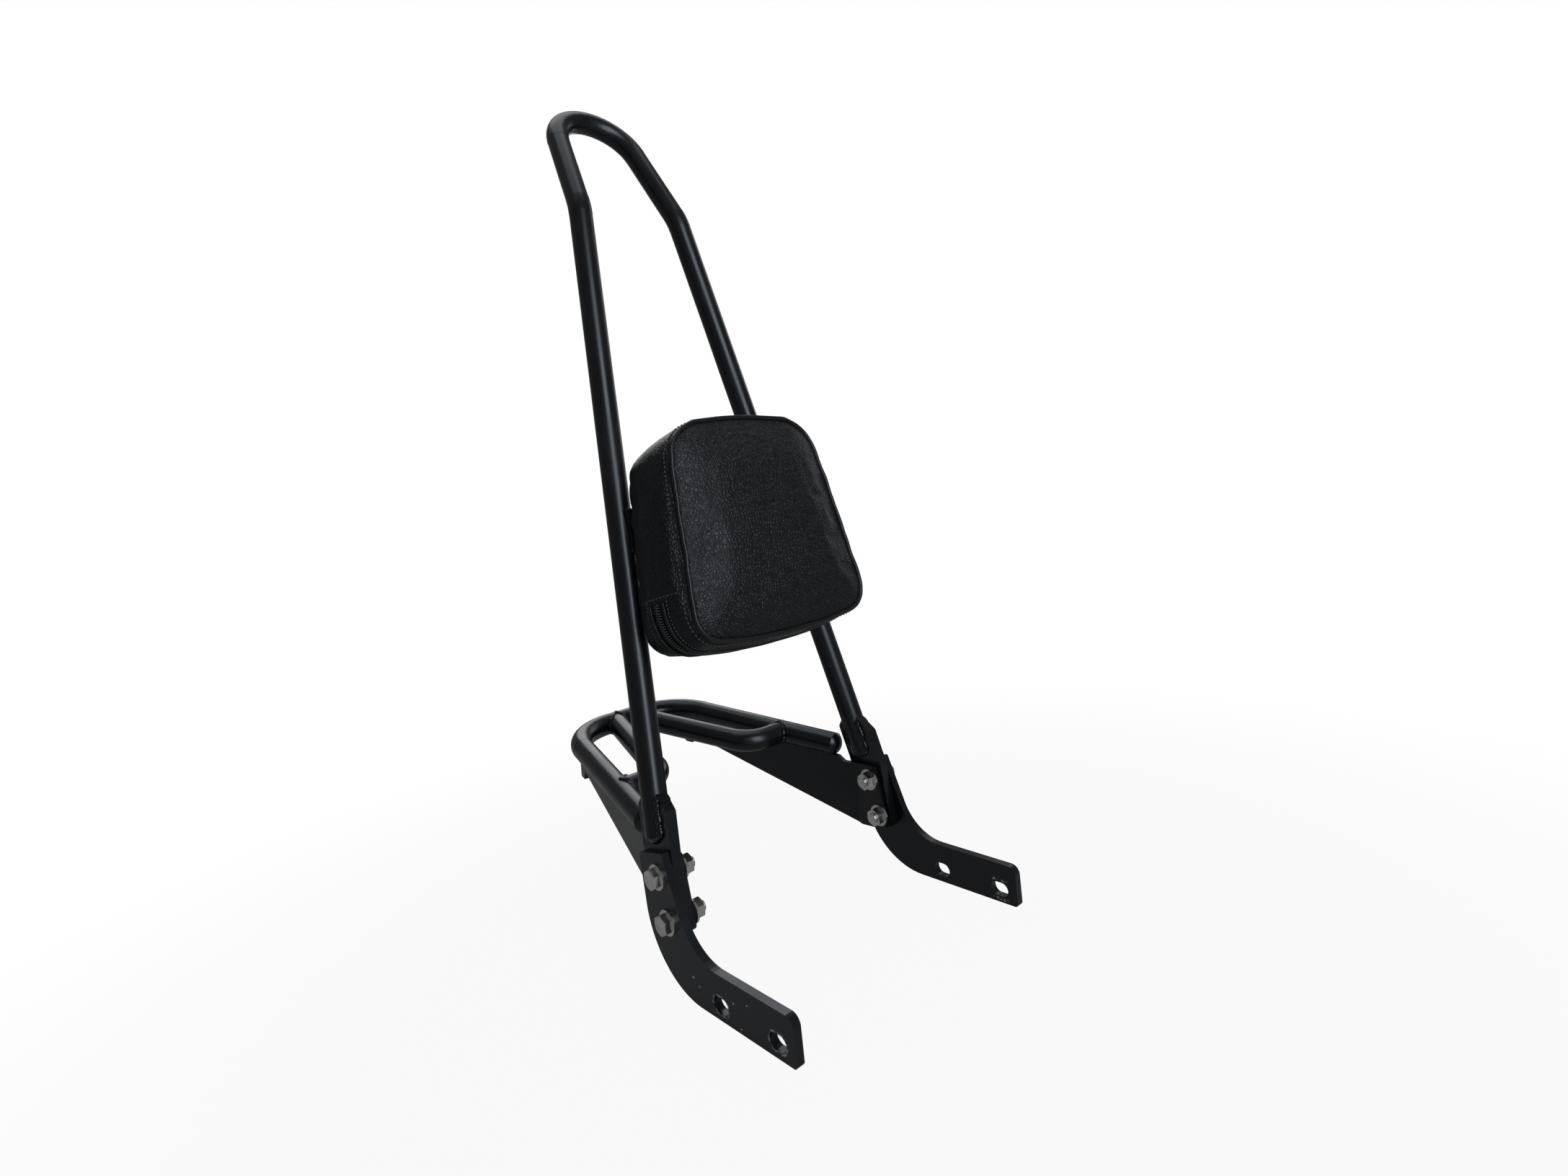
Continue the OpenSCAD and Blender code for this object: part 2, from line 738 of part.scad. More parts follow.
// Leather band round the pad's sides, open where the zip's tape lies
module pad_side_band() {
    color(leather_black)
        at_pad()
            difference() {
                pad_layer(panel_front, seam_front) pad_shape(0);
                pad_layer(panel_front - cut, seam_front + cut) pad_shape(leather_t);
                zip_room(tape_w / 2);
            }
}

zip_mid = pad_back + pad_t / 2;
// Depth of the tape's face below the leather's
tape_in = leather_t / 4;
module zip_room(half) translate([-big, -zip_mid - half, -big]) cube([2 * big, 2 * half, big + zip_end]);

// Zip tape in the band's opening, and the closed coil on it
module zip_tape() {
    color(cloth_black)
        at_pad()
            intersection() {
                pad_layer(zip_mid - tape_w / 2, zip_mid + tape_w / 2)
                    difference() {
                        pad_shape(tape_in);
                        pad_shape(leather_t);
                    }
                zip_room(tape_w / 2);
            }
}

module zip_coil() {
    color(cloth_black)
        at_pad()
            intersection() {
                pad_layer(zip_mid - coil_w / 2, zip_mid + coil_w / 2)
                    difference() {
                        pad_shape(tape_in - coil_t);
                        pad_shape(tape_in);
                    }
                zip_room(coil_w / 2);
            }
}

// Piping in the seam between the band and the front
piping_rise = piping_d * 0.7;
piping_proud = piping_d * 0.2;
module pad_piping() {
    color(leather_black)
        at_pad()
            pad_layer(seam_front, seam_front + piping_rise)
                difference() {
                    pad_shape(-piping_proud);
                    pad_shape(leather_t);
                }
}

// Leather back of the cover, and the board behind the foam
module pad_back_panel() {
    color(leather_black)
        at_pad()
            difference() {
                pad_layer(pad_back, panel_front) pad_shape(0);
                at_screws(pad_back - cut) cylinder(h = leather_t + 2 * cut, d = screw_d);
            }
}

module pad_base_board() {
    color(ply)
        at_pad()
            difference() {
                pad_layer(panel_front, panel_front + board_t) pad_shape(board_in);
                at_screws(panel_front - cut) cylinder(h = board_t + 2 * cut, d = tee_barrel_d);
            }
}

// Pad screws: a depth in front of the legs' plane, their axis towards the rider

module at_screws(depth)
    for (x = [-screw_pitch / 2, screw_pitch / 2])
        translate([x, -depth, strap_up]) rotate([90, 0, 0]) children();

tee_barrel_d = screw_d + 2;
tee_flange_d = 3.2 * screw_d;
tee_flange_t = 1.5;
screw_past = 4;
screw_washer_t = 0.25 * screw_d;
screw_washer_d = 2 * screw_d;
screw_play = 0.6;
screw_af = 1.67 * screw_d;
screw_head_t = 0.67 * screw_d;
strap_back = strap_front - strap_t;
screw_head = strap_back - screw_washer_t;

module pad_tee_nuts() {
    color(zinc)
        at_pad()
            at_screws(panel_front)
                difference() {
                    union() {
                        cylinder(h = board_t, d = tee_barrel_d);
                        translate([0, 0, board_t]) cylinder(h = tee_flange_t, d = tee_flange_d);
                    }
                    translate([0, 0, -cut]) cylinder(h = board_t + tee_flange_t + 2 * cut, d = screw_d);
                }
}

module pad_screws() {
    color(zinc)
        at_pad()
            at_screws(screw_head) {
                cylinder(h = panel_front + board_t + screw_past - screw_head, d = screw_d);
                mirror([0, 0, 1]) hex_blank(screw_af, screw_head_t);
            }
}

module pad_screw_washers() {
    color(zinc)
        at_pad()
            at_screws(screw_head) washer(screw_washer_d, screw_d + washer_play, screw_washer_t);
}

// Strap across the front of both legs, which carries the pad

strap_z = pad_base[2] + strap_up * cos(leg_lean);
strap_half = leg_at(strap_z)[0];

module pad_strap() {
    color(powder_black)
        at_pad()
            difference() {
                translate([-strap_half, -strap_front, strap_up - strap_w / 2])
                    cube([2 * strap_half, strap_t, strap_w]);
                at_screws(strap_back - cut) cylinder(h = strap_t + 2 * cut, d = screw_d + screw_play);
            }
}

// Beads where the strap's upper and lower edges cross each leg
module strap_bead(z) translate([strap_half, -strap_back, z]) rotate([0, 90, 0])
    cylinder(h = tube_r, r = bead_r, center = true);

module strap_welds() {
    color(powder_black)
        both_sides()
            difference() {
                at_pad() {
                    strap_bead(strap_up - strap_w / 2);
                    strap_bead(strap_up + strap_w / 2);
                }
                at_pad() translate([-big, -strap_front, strap_up - strap_w / 2]) cube([2 * big, strap_t, strap_w]);
                bar(leg_end, kink, tube_r);
            }
}

side_plate_right();
side_plate_left();
upright_plate_right();
upright_plate_left();
hoop_tube();
hoop_welds();
rack_gusset_right();
rack_gusset_left();
rack_rail_tube();
rack_inner_tube_right();
rack_inner_tube_left();
rack_end_caps();
rack_welds();
frame_bolts();
head_washers();
nut_washers();
frame_nuts();
pad_strap();
strap_welds();
pad_screws();
pad_screw_washers();
pad_tee_nuts();
pad_base_board();
pad_back_panel();
pad_cushion();
pad_side_band();
pad_piping();
zip_tape();
zip_coil();
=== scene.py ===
import math

import bmesh
import bpy
from bpy.props import FloatProperty, FloatVectorProperty, IntProperty, PointerProperty
from mathutils import Matrix, Vector, noise
from mathutils.bvhtree import BVHTree


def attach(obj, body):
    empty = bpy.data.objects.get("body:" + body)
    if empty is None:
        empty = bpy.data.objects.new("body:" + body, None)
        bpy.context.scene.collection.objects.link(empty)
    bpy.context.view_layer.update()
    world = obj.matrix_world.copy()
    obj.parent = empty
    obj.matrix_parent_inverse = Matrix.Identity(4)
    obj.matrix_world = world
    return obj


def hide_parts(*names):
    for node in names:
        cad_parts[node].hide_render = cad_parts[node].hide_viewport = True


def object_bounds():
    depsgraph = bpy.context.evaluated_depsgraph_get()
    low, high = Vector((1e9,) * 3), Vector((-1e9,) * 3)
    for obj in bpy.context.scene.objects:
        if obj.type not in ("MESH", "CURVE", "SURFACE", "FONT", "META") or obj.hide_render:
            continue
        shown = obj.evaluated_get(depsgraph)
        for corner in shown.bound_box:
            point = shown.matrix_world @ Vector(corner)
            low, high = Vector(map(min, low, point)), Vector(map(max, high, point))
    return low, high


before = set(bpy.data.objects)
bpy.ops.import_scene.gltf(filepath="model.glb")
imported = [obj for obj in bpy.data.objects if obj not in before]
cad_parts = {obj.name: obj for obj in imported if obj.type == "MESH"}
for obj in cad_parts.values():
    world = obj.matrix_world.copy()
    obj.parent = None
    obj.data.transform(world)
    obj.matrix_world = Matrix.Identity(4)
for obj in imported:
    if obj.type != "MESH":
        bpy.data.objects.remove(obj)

bl_info = {
    "name": "Sissy bar finish",
    "version": (1, 0, 0),
    "blender": (4, 5, 0),
    "location": "3D View > Sidebar > Sissy Bar",
    "description": "Dresses the packed sissy bar with its leather pad, zip, welds and coatings",
    "category": "Object",
}

CAD_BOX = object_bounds()
MM = 0.001
BODY = "root"

# Share of the specular reflection that each dark surface keeps, and its cool cast
COAT_GLOSS = 0.42
LEATHER_GLOSS = 0.3
CLOTH_GLOSS = 0.12
COOL_SHEEN = (0.74, 0.87, 1.0, 1.0)

# Patterns of the coat, in features per metre, and the steel under it
CLOUDS = 24.0
DUST = 140.0
SPECKS = 420.0
PEEL = 620.0
BARE_STEEL = (0.55, 0.55, 0.56)

# Sizes and places from here on are in millimetres

# Side plates: inner face, thickness, and the slots' middles, straight half and end radius
FENDER_HALF = 110.0
SIDE_T = 6.0
SLOTS = (-27.0, 27.0)
SLOT_HALF = 2.25
SLOT_R = 5.25

# Wear of the side plates: ring rubbed round a slot, and chips as y, z and radius
RUB_OUT = 0.7
RUB_W = 1.1
CHIPS = ((55.0, 8.0, 1.1), (49.0, 4.0, 0.8), (13.6, 7.0, 0.8), (-0.3, 10.9, 0.9), (7.5, -6.7, 0.7))
CHIP_RAGGED = 2.2
SCUFF_UP = 7.5

# Hoop legs and the upright plates that they are welded over
TUBE_R = 9.5
LEG_LEAN = math.radians(12.8)
LEG_IN = math.radians(6.75)
LEG_BACK = 94.6
BEND_UP = 80.0
LEG_FOOT = 8.0
UPRIGHT_X = 106.0
UPRIGHT_T = 8.0
UPRIGHT_TOP = 38.5

# Frame bolts, whose nuts sit on the faces at INSIDE_X
INSIDE_X = 98.0
UPPER_BOLT = (85.7, 66.2)
BOLT_LEAN = math.radians(14.4)
BOLT_PITCH = 30.0
WASHER_T = 1.6
NUT_T = 6.48
THREAD_OUT = 2.4
THREAD_MID_R = 3.95
THREAD_RIDGE = 0.42

# Rack: rails, gussets and inner tubes
RACK_RISE = math.radians(6.7)
RACK_L = 214.0
RAIL_IN = math.radians(12.34)
RAIL_UP = 87.4
RAIL_X = 104.0
RAIL_FRONT = 27.0
GUSSET_BEND = 96.0
GUSSET_X = 100.0
GUSSET_T = 4.0
GUSSET_L = 184.7
STITCH_L = 16.0
INNER_L = 132.4
INNER_SPLAY = math.radians(15.3)
INNER_GAP = 0.6

# Weld beads: height over the surface, spacing of a bead's rings, and unevenness
BEAD_LIFT = 0.3
BEAD_STEP = 0.5
BEAD_LUMPS = 0.5

# Pad, its zip and the strap that carries it
PAD_UP = 202.0
PAD_H = 162.0
PAD_HALF = 84.0
PAD_TOP_HALF = 67.0
PAD_BOW = 2.5
PAD_BACK = 13.8
PAD_CROWN = 8.0
SEAM_DEPTH = 63.8
ZIP_MID = 38.8
ZIP_END = 38.0
STRAP_UP = 98.0
STRAP_W = 30.0

# Cover: how it leaves the pad's plain outline, at its front, its back, its corners and its ends
PAD_DRIFT = 5.5
PAD_SPREAD = (8.5, 2.5)
PAD_FAR_SPREAD = 0.3
PAD_REAR_DROP = 6.0
COVER_LOW_R = 21.0
COVER_TOP_R = 31.0
COVER_BOW = 7.5
COVER_RAISE = 2.8
LOWER_EDGE = 20.0
SIDE_OUT = 2.4
SIDE_BULGE = 1.8

# Cover's front: share of the crown's height, and distance in from the outline
CROWN = ((0.17, 0.6), (0.36, 4.0), (0.57, 10.0), (0.76, 18.0), (0.9, 28.0), (0.98, 40.0), (1.0, 54.0))

# Stitch as a row of sections: share of its length, rise and width as shares of the thread
STITCH = ((-0.5, -0.9, 0.35), (-0.3, 0.1, 1.0), (0.0, 0.35, 1.05), (0.3, 0.1, 1.0), (0.5, -0.9, 0.35))

# Zip tooth as a row of sections: share of the coil's half width, rise and radius
TOOTH = ((-0.22, 0.0, 0.42), (0.1, 0.35, 0.5), (0.5, 0.42, 0.52), (0.85, 0.2, 0.5), (1.0, -0.5, 0.42))

# Studio lamps in metres and watts: name, place, size and power
LAMPS = (
    ("Key", (-0.24, -1.5, 0.95), (0.9, 1.7), 25.0),
    ("Fill", (1.8, 0.6, 0.9), (0.8, 1.4), 4.0),
    ("Top", (0.2, 0.6, 2.4), (1.8, 1.8), 14.0),
    ("Back", (0.9, 1.9, 1.2), (1.2, 1.2), 9.0),
)
LAMP_AIM = (0.0, 0.15, 0.33)


class Value:
    """An output socket that grows its own nodes when it is used in a sum."""

    def __init__(self, paint, socket):
        self.paint = paint
        self.socket = socket

    def math(self, operation, *values):
        return self.paint.node("Math", {"operation": operation}, *values)

    def __add__(self, other):
        return self.math("ADD", self, other)

    def __radd__(self, other):
        return self.math("ADD", other, self)

    def __sub__(self, other):
        return self.math("SUBTRACT", self, other)

    def __rsub__(self, other):
        return self.math("SUBTRACT", other, self)

    def __mul__(self, other):
        return self.math("MULTIPLY", self, other)

    def __rmul__(self, other):
        return self.math("MULTIPLY", other, self)

    def __pow__(self, other):
        return self.math("POWER", self, other)

    def size(self):
        return self.math("ABSOLUTE", self)

    def sine(self):
        return self.math("SINE", self)

    def most(self, other):
        return self.math("MAXIMUM", self, other)

    def ramp(self, low, high, out_low=0.0, out_high=1.0):
        """Eases from one value to another between two limits."""
        return self.paint.node(
            "MapRange", {"interpolation_type": "SMOOTHSTEP"}, self, low, high, out_low, out_high
        )


class Paint:
    """A material and the nodes that its pattern needs."""

    def __init__(self, name):
        self.material = bpy.data.materials.new(name)
        self.material.use_nodes = True
        self.tree = self.material.node_tree
        self.tree.nodes.clear()
        self.place = self.node("TexCoord", {}, out="Object")

    def node(self, kind, settings, *values, out=None, **named):
        """Adds a node, sets it up, then fills its sockets in order or by name."""
        made = self.tree.nodes.new("ShaderNode" + kind)
        for key, value in settings.items():
            setattr(made, key, value)
        pairs = list(zip(made.inputs, values))
        pairs += [(made.inputs[key.replace("_", " ")], value) for key, value in named.items()]
        for socket, value in pairs:
            if isinstance(value, Value):
                self.tree.links.new(value.socket, socket)
            elif value is not None:
                socket.default_value = value
        return Value(self, made.outputs[out] if out else made.outputs[0])

    def axes(self):
        """The x, y and z of the object coordinates."""
        split = self.tree.nodes.new("ShaderNodeSeparateXYZ")
        self.tree.links.new(self.place.socket, split.inputs[0])
        return [Value(self, out) for out in split.outputs]

    def grain(self, scale, detail=3.0, roughness=0.5):
        """Noise with so many features per metre."""
        return self.node("TexNoise", {}, Vector=self.place, Scale=scale, Detail=detail, Roughness=roughness)

    def creases(self, scale):
        """Distance to the edge of a cell, with so many cells per metre."""
        return self.node(
            "TexVoronoi", {"feature": "DISTANCE_TO_EDGE"}, Vector=self.place, Scale=scale, out="Distance"
        )

    def blend(self, share, low, high):
        """Mixes two colours by a value."""
        mix = self.tree.nodes.new("ShaderNodeMix")
        mix.data_type = "RGBA"
        self.tree.links.new(share.socket, mix.inputs[0])
        for socket, value in ((mix.inputs[6], low), (mix.inputs[7], high)):
            if isinstance(value, Value):
                self.tree.links.new(value.socket, socket)
            else:
                socket.default_value = (*value, 1.0)
        return Value(self, mix.outputs[2])

    def bump(self, height, strength, distance, normal=None):
        return self.node(
            "Bump", {}, Strength=strength, Distance=distance, Height=height, Normal=normal, out="Normal"
        )

    def output(self, shader):
        """Joins a shader to the material's output."""
        made = self.tree.nodes.new("ShaderNodeOutputMaterial")
        self.tree.links.new(shader.socket, made.inputs[0])
        return self.material

    def finish(self, colour, roughness, metallic=0.0, normal=None, **fixed):
        """Ends the material in a principled shader."""
        return self.output(self.node(
            "BsdfPrincipled", {}, Base_Color=colour, Roughness=roughness, Metallic=metallic,
            Normal=normal, **fixed
        ))


def orange_peel(paint, strength):
    """The fine waviness that a powder coat cures with."""
    return paint.bump(paint.grain(PEEL, 2.0), strength, 0.00025)


def dusty_coat(paint, smoother=0.0):
    """The powder coat's colour and roughness, with faint clouds of dust."""
    look = bpy.context.scene.sissy_coat
    broad = paint.grain(CLOUDS)
    dust = paint.grain(DUST, 4.0, 0.65)
    colour = paint.blend((dust * broad).ramp(0.2, 0.5), look.colour, look.worn_colour)
    rough = look.roughness - smoother
    return colour, broad.ramp(0.3, 0.7, rough - 0.03, rough + 0.04)


def powder_coat(name, smoother=0.0):
    """Black powder coat, also over the weld beads, where it runs smoother."""
    paint = Paint(name)
    colour, rough = dusty_coat(paint, smoother)
    peel = orange_peel(paint, 0.04)
    return paint.finish(
        colour, rough, normal=peel, Specular_IOR_Level=COAT_GLOSS, Specular_Tint=COOL_SHEEN
    )


def chipped_coat():
    """Powder coat of the side plates: rubbed round the slots, chipped outside and scuffed inside."""
    paint = Paint("Chipped powder coat")
    x, y, z = paint.axes()
    colour, rough = dusty_coat(paint)
    specks = paint.grain(SPECKS, 4.0, 0.7)
    bare = None
    for slot in SLOTS:
        along = ((y - slot * MM).size() - SLOT_HALF * MM).most(0.0)
        reach = (along * along + z * z) ** 0.5
        rub = 1.0 - (reach - (SLOT_R + RUB_OUT) * MM).size().ramp(0.0, RUB_W * MM)
        rub = rub * specks.ramp(0.44, 0.6)
        bare = rub if bare is None else bare.most(rub)
    for chip_y, chip_z, chip_r in CHIPS:
        off_y = y - chip_y * MM
        off_z = z - chip_z * MM
        reach = (off_y * off_y + off_z * off_z) ** 0.5 + (specks - 0.5) * (CHIP_RAGGED * MM)
        bare = bare.most(1.0 - reach.ramp(chip_r * 0.6 * MM, chip_r * MM))
    bare = bare * x.size().ramp((FENDER_HALF + SIDE_T - 0.3) * MM, (FENDER_HALF + SIDE_T - 0.2) * MM)
    inner = 1.0 - x.size().ramp((FENDER_HALF + 0.2) * MM, (FENDER_HALF + 0.3) * MM)
    scuff_y = (y - SLOTS[0] * MM).size().ramp(4.0 * MM, 9.0 * MM, 1.0, 0.0)
    scuff_z = (z.size() - SCUFF_UP * MM).size().ramp(0.4 * MM, 1.6 * MM, 1.0, 0.0)
    bare = bare.most(inner * scuff_y * scuff_z * specks.ramp(0.5, 0.62))
    colour = paint.blend(bare, colour, BARE_STEEL)
    dent = paint.bump(1.0 - bare, 0.5, 0.0002, orange_peel(paint, 0.07))
    return paint.finish(
        colour, rough, bare * 0.9, dent, Specular_IOR_Level=COAT_GLOSS, Specular_Tint=COOL_SHEEN
    )


def zinc_plate():
    """Bright zinc of the bolts, nuts and washers."""
    paint = Paint("Zinc plate")
    cloud = paint.grain(160.0, 4.0, 0.6)
    scratch = paint.grain(1500.0, 2.0)
    colour = paint.blend(cloud.ramp(0.35, 0.7), (0.64, 0.64, 0.63), (0.5, 0.5, 0.5))
    return paint.finish(colour, cloud.ramp(0.3, 0.7, 0.16, 0.24), 1.0, paint.bump(scratch, 0.04, 0.0001))


def pad_leather(name, finer, strength, smoother=0.0, painted_highlight_gain=1.0):
    """Pebbled leather: finer multiplies the cover's grain, strength is the bump's. The creases between the
    pebbles are painted darker as painted shade, and the last argument scales both colours up, which the
    piping uses as a painted highlight.
    """
    look = bpy.context.scene.sissy_leather
    paint = Paint(name)
    pebble = look.pebbles * finer
    pebbles = paint.creases(pebble).ramp(0.0, 0.32)
    warp = paint.grain(90.0, 2.0)
    fine = paint.grain(pebble * 2.6)
    soft = paint.grain(14.0)
    # Both colours are scaled by the last argument; at 3.0 on the piping this is a painted highlight
    low, high = (tuple(part * painted_highlight_gain for part in colour) for colour in (look.painted_crease_shade, look.colour))
    # Painted shade: the colour darkens towards the creases between the pebbles and is lightest on the pebbles
    colour = paint.blend(pebbles * soft.ramp(0.25, 0.75, 0.55, 1.0), low, high)
    rough = look.roughness - smoother
    rough = (pebbles * 0.12 + soft * 0.16).ramp(0.0, 0.3, rough + 0.1, rough - 0.06)
    height = pebbles * 0.8 + fine * 0.15 + warp * 0.25
    return paint.finish(
        colour, rough, normal=paint.bump(height, strength, 0.0007), Specular_IOR_Level=LEATHER_GLOSS,
        Specular_Tint=COOL_SHEEN
    )


def zip_cloth():
    """Ribbed cloth of the zip's tape."""
    paint = Paint("Zip cloth")
    ribs = [(axis * 5200.0).sine() for axis in paint.axes()]
    weave = (ribs[0] + ribs[1] + ribs[2]) * 0.33
    colour = paint.blend(weave.ramp(-0.6, 0.6), (0.003, 0.003, 0.0035), (0.011, 0.011, 0.012))
    return paint.finish(colour, 0.86, normal=paint.bump(weave, 0.6, 0.0002), Specular_IOR_Level=CLOTH_GLOSS)


def coil_plastic():
    """Dull black plastic of the zip's coil."""
    paint = Paint("Coil plastic")
    cloud = paint.grain(300.0, 2.0)
    colour = paint.blend(cloud, (0.02, 0.021, 0.023), (0.042, 0.044, 0.048))
    return paint.finish(colour, cloud.ramp(0.3, 0.7, 0.26, 0.36), normal=paint.bump(cloud, 0.1, 0.0001))


def stitch_thread():
    """Twisted thread of the seams."""
    paint = Paint("Stitch thread")
    x, y, z = paint.axes()
    twist = ((x + y + z) * 9000.0).sine()
    colour = paint.blend(twist.ramp(-1.0, 1.0), (0.03, 0.032, 0.036), (0.12, 0.128, 0.14))
    return paint.finish(colour, 0.6, normal=paint.bump(twist, 0.5, 0.0001))


def birch_ply():
    """Layers of the pad's plywood board, across its depth."""
    paint = Paint("Birch ply")
    depth = paint.axes()[1]
    rings = paint.grain(60.0, 3.0, 0.6)
    layers = (depth * 4200.0 + rings * 2.0).sine()
    colour = paint.blend(layers.ramp(-1.0, 1.0), (0.42, 0.27, 0.14), (0.62, 0.44, 0.26))
    return paint.finish(colour, 0.62, normal=paint.bump(rings, 0.2, 0.0003))


MAKERS = {
    "powder": lambda: powder_coat("Powder coat"),
    "bead": lambda: powder_coat("Coated weld", 0.08),
    "chipped": chipped_coat,
    "zinc": zinc_plate,
    "leather": lambda: pad_leather("Pebbled leather", 1.0, 0.5),
    "trim": lambda: pad_leather("Trim leather", 1.5, 0.3),
    # The piping's leather is painted three times paler, as a painted highlight along the cord
    "cord": lambda: pad_leather("Piping leather, painted highlight", 2.2, 0.1, 0.14, 3.0),
    "cloth": zip_cloth,
    "coil": coil_plastic,
    "thread": stitch_thread,
    "ply": birch_ply,
}
PAINTS = {}


def coated(name):
    """Each material is made once and shared."""
    if name not in PAINTS:
        PAINTS[name] = MAKERS[name]()
    return PAINTS[name]


def link_mesh(name, bm):
    """Puts a bmesh into the scene as an object at the origin."""
    mesh = bpy.data.meshes.new(name)
    bm.to_mesh(mesh)
    bm.free()
    made = bpy.data.objects.new(name, mesh)
    bpy.context.scene.collection.objects.link(made)
    return made


def piece(name, bm, material, stands_for=(), sharp=60.0):
    """Turns a bmesh in millimetres into a finished object that rides on the part."""
    bmesh.ops.remove_doubles(bm, verts=bm.verts, dist=0.002)
    bmesh.ops.recalc_face_normals(bm, faces=bm.faces)
    bmesh.ops.scale(bm, vec=(MM, MM, MM), verts=bm.verts)
    made = link_mesh(name, bm)
    made.data.shade_smooth()
    made.data.set_sharp_from_angle(angle=math.radians(sharp))
    made.data.materials.append(coated(material))
    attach(made, BODY)
    if stands_for:
        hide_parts(*stands_for)


def skin(bm, rings, closed=False):
    """Draws the first ring, then extrudes it from one ring to the next, and closes both ends."""
    spot = bm.verts.layers.int.get("spot") or bm.verts.layers.int.new("spot")
    verts = bmesh.ops.create_circle(bm, cap_ends=False, segments=len(rings[0]), radius=1.0)["verts"]
    for index, vert in enumerate(verts):
        vert[spot] = index
        vert.co = rings[0][index]
    first = edges = list(dict.fromkeys(edge for vert in verts for edge in vert.link_edges))
    for ring in rings[1:]:
        made = bmesh.ops.extrude_edge_only(bm, edges=edges)["geom"]
        verts = {item for item in made if isinstance(item, bmesh.types.BMVert)}
        for vert in verts:
            vert.co = ring[vert[spot]]
        edges = [
            item for item in made
            if isinstance(item, bmesh.types.BMEdge) and item.verts[0] in verts and item.verts[1] in verts
        ]
    if closed:
        bmesh.ops.bridge_loops(bm, edges=first + edges)
    else:
        bmesh.ops.edgeloop_fill(bm, edges=first)
        bmesh.ops.edgeloop_fill(bm, edges=edges)


def round_rings(points, radii, normals, sides=10, closed=False, flat=1.0):
    """Rings of a cord along a row of points: flat squeezes it along the surface's normal."""
    count = len(points)
    rings = []
    for index, point in enumerate(points):
        after = points[(index + 1) % count] if closed else points[min(index + 1, count - 1)]
        before = points[index - 1] if closed or index else points[0]
        along = (after - before).normalized()
        across = along.cross(normals[index]).normalized()
        up = across.cross(along)
        ring = []
        for step in range(sides):
            turn = 2.0 * math.pi * step / sides
            ring.append(point + radii[index] * (math.cos(turn) * across + flat * math.sin(turn) * up))
        rings.append(ring)
    return rings


def lengths(points, closed=False):
    """Distance along a path at each of its points."""
    run = [0.0]
    for index in range(1, len(points) + (1 if closed else 0)):
        run.append(run[-1] + (points[index % len(points)] - points[index - 1]).length)
    return run


def even(points, count, closed=False):
    """As many points, evenly spaced along the same path."""
    run = lengths(points, closed)
    source = points + [points[0]] if closed else points
    made = []
    at = 0
    for index in range(count):
        goal = run[-1] * index / (count if closed else count - 1)
        while at < len(run) - 2 and run[at + 1] < goal:
            at += 1
        share = (goal - run[at]) / max(run[at + 1] - run[at], 1e-9)
        made.append(source[at].lerp(source[at + 1], min(max(share, 0.0), 1.0)))
    return made


def walk(points, normals, step, offset=0.5):
    """Place, direction and way out at every step along a path, from a share of the first step on."""
    run = lengths(points)
    at = 0
    for index in range(int(run[-1] / step)):
        goal = (index + offset) * step
        while at < len(run) - 2 and run[at + 1] < goal:
            at += 1
        share = (goal - run[at]) / max(run[at + 1] - run[at], 1e-9)
        yield points[at].lerp(points[at + 1], share), (points[at + 1] - points[at]).normalized(), normals[at]


def bead(bm, path, normal, radius, seed, flat=0.8):
    """Weld bead with overlapping ripples: normal gives the surface's direction at a point."""
    look = bpy.context.scene.sissy_weld
    length = lengths(path)[-1]
    points = even(path, max(8, int(length / BEAD_STEP)))
    radii = []
    for index, point in enumerate(points):
        wander = 0.3 * noise.noise(point * 0.2 + Vector((seed, 0.0, 0.0)))
        phase = index * BEAD_STEP / (look.ripple / MM) + wander
        swell = 1.0 + look.depth * (1.0 - (phase % 1.0) ** 2 * 1.6)
        swell *= 1.0 + BEAD_LUMPS * noise.noise(point * 0.16 + Vector((0.0, seed, 0.0)))
        end = min(index, len(points) - 1 - index) * BEAD_STEP / radius
        radii.append(radius * swell * math.sqrt(min(1.0, 0.12 + end)))
    skin(bm, round_rings(points, radii, [normal(point) for point in points], flat=flat))


# Places on the part


def pad_point(x, depth, up):
    """Place in the pad's frame: depth forwards from the legs' middle, up along the legs."""
    lean, rise = math.sin(LEG_LEAN), math.cos(LEG_LEAN)
    base = LEG_BACK + math.tan(LEG_LEAN) * (PAD_UP - BEND_UP)
    return Vector((x, base + up * lean - depth * rise, PAD_UP + up * rise + depth * lean))


def pad_frame(point):
    """A place on the part as x, depth and height in the pad's frame."""
    off = point - pad_point(0.0, 0.0, 0.0)
    lean, rise = math.sin(LEG_LEAN), math.cos(LEG_LEAN)
    return off.x, -off.y * rise + off.z * lean, off.y * lean + off.z * rise


def pad_front():
    """The way that the pad faces."""
    return (pad_point(0.0, 1.0, 0.0) - pad_point(0.0, 0.0, 0.0)).normalized()


def leg_plate_point(side, x, y, up):
    """Place in the upright plate's upper half: x outwards, y rearwards, up along the plate."""
    turn_in, turn_up = math.sin(LEG_IN), math.cos(LEG_IN)
    out = side * (UPRIGHT_X + x * turn_up - up * turn_in)
    return Vector((out, LEG_BACK + y, BEND_UP + up * turn_up + x * turn_in))


def rack_point(x, y, up):
    """Place in the rack's plane: y rearwards along it, up square to it."""
    rise, run = math.sin(RACK_RISE), math.cos(RACK_RISE)
    return Vector((x, GUSSET_BEND + y * run - up * rise, RAIL_UP + y * rise + up * run))


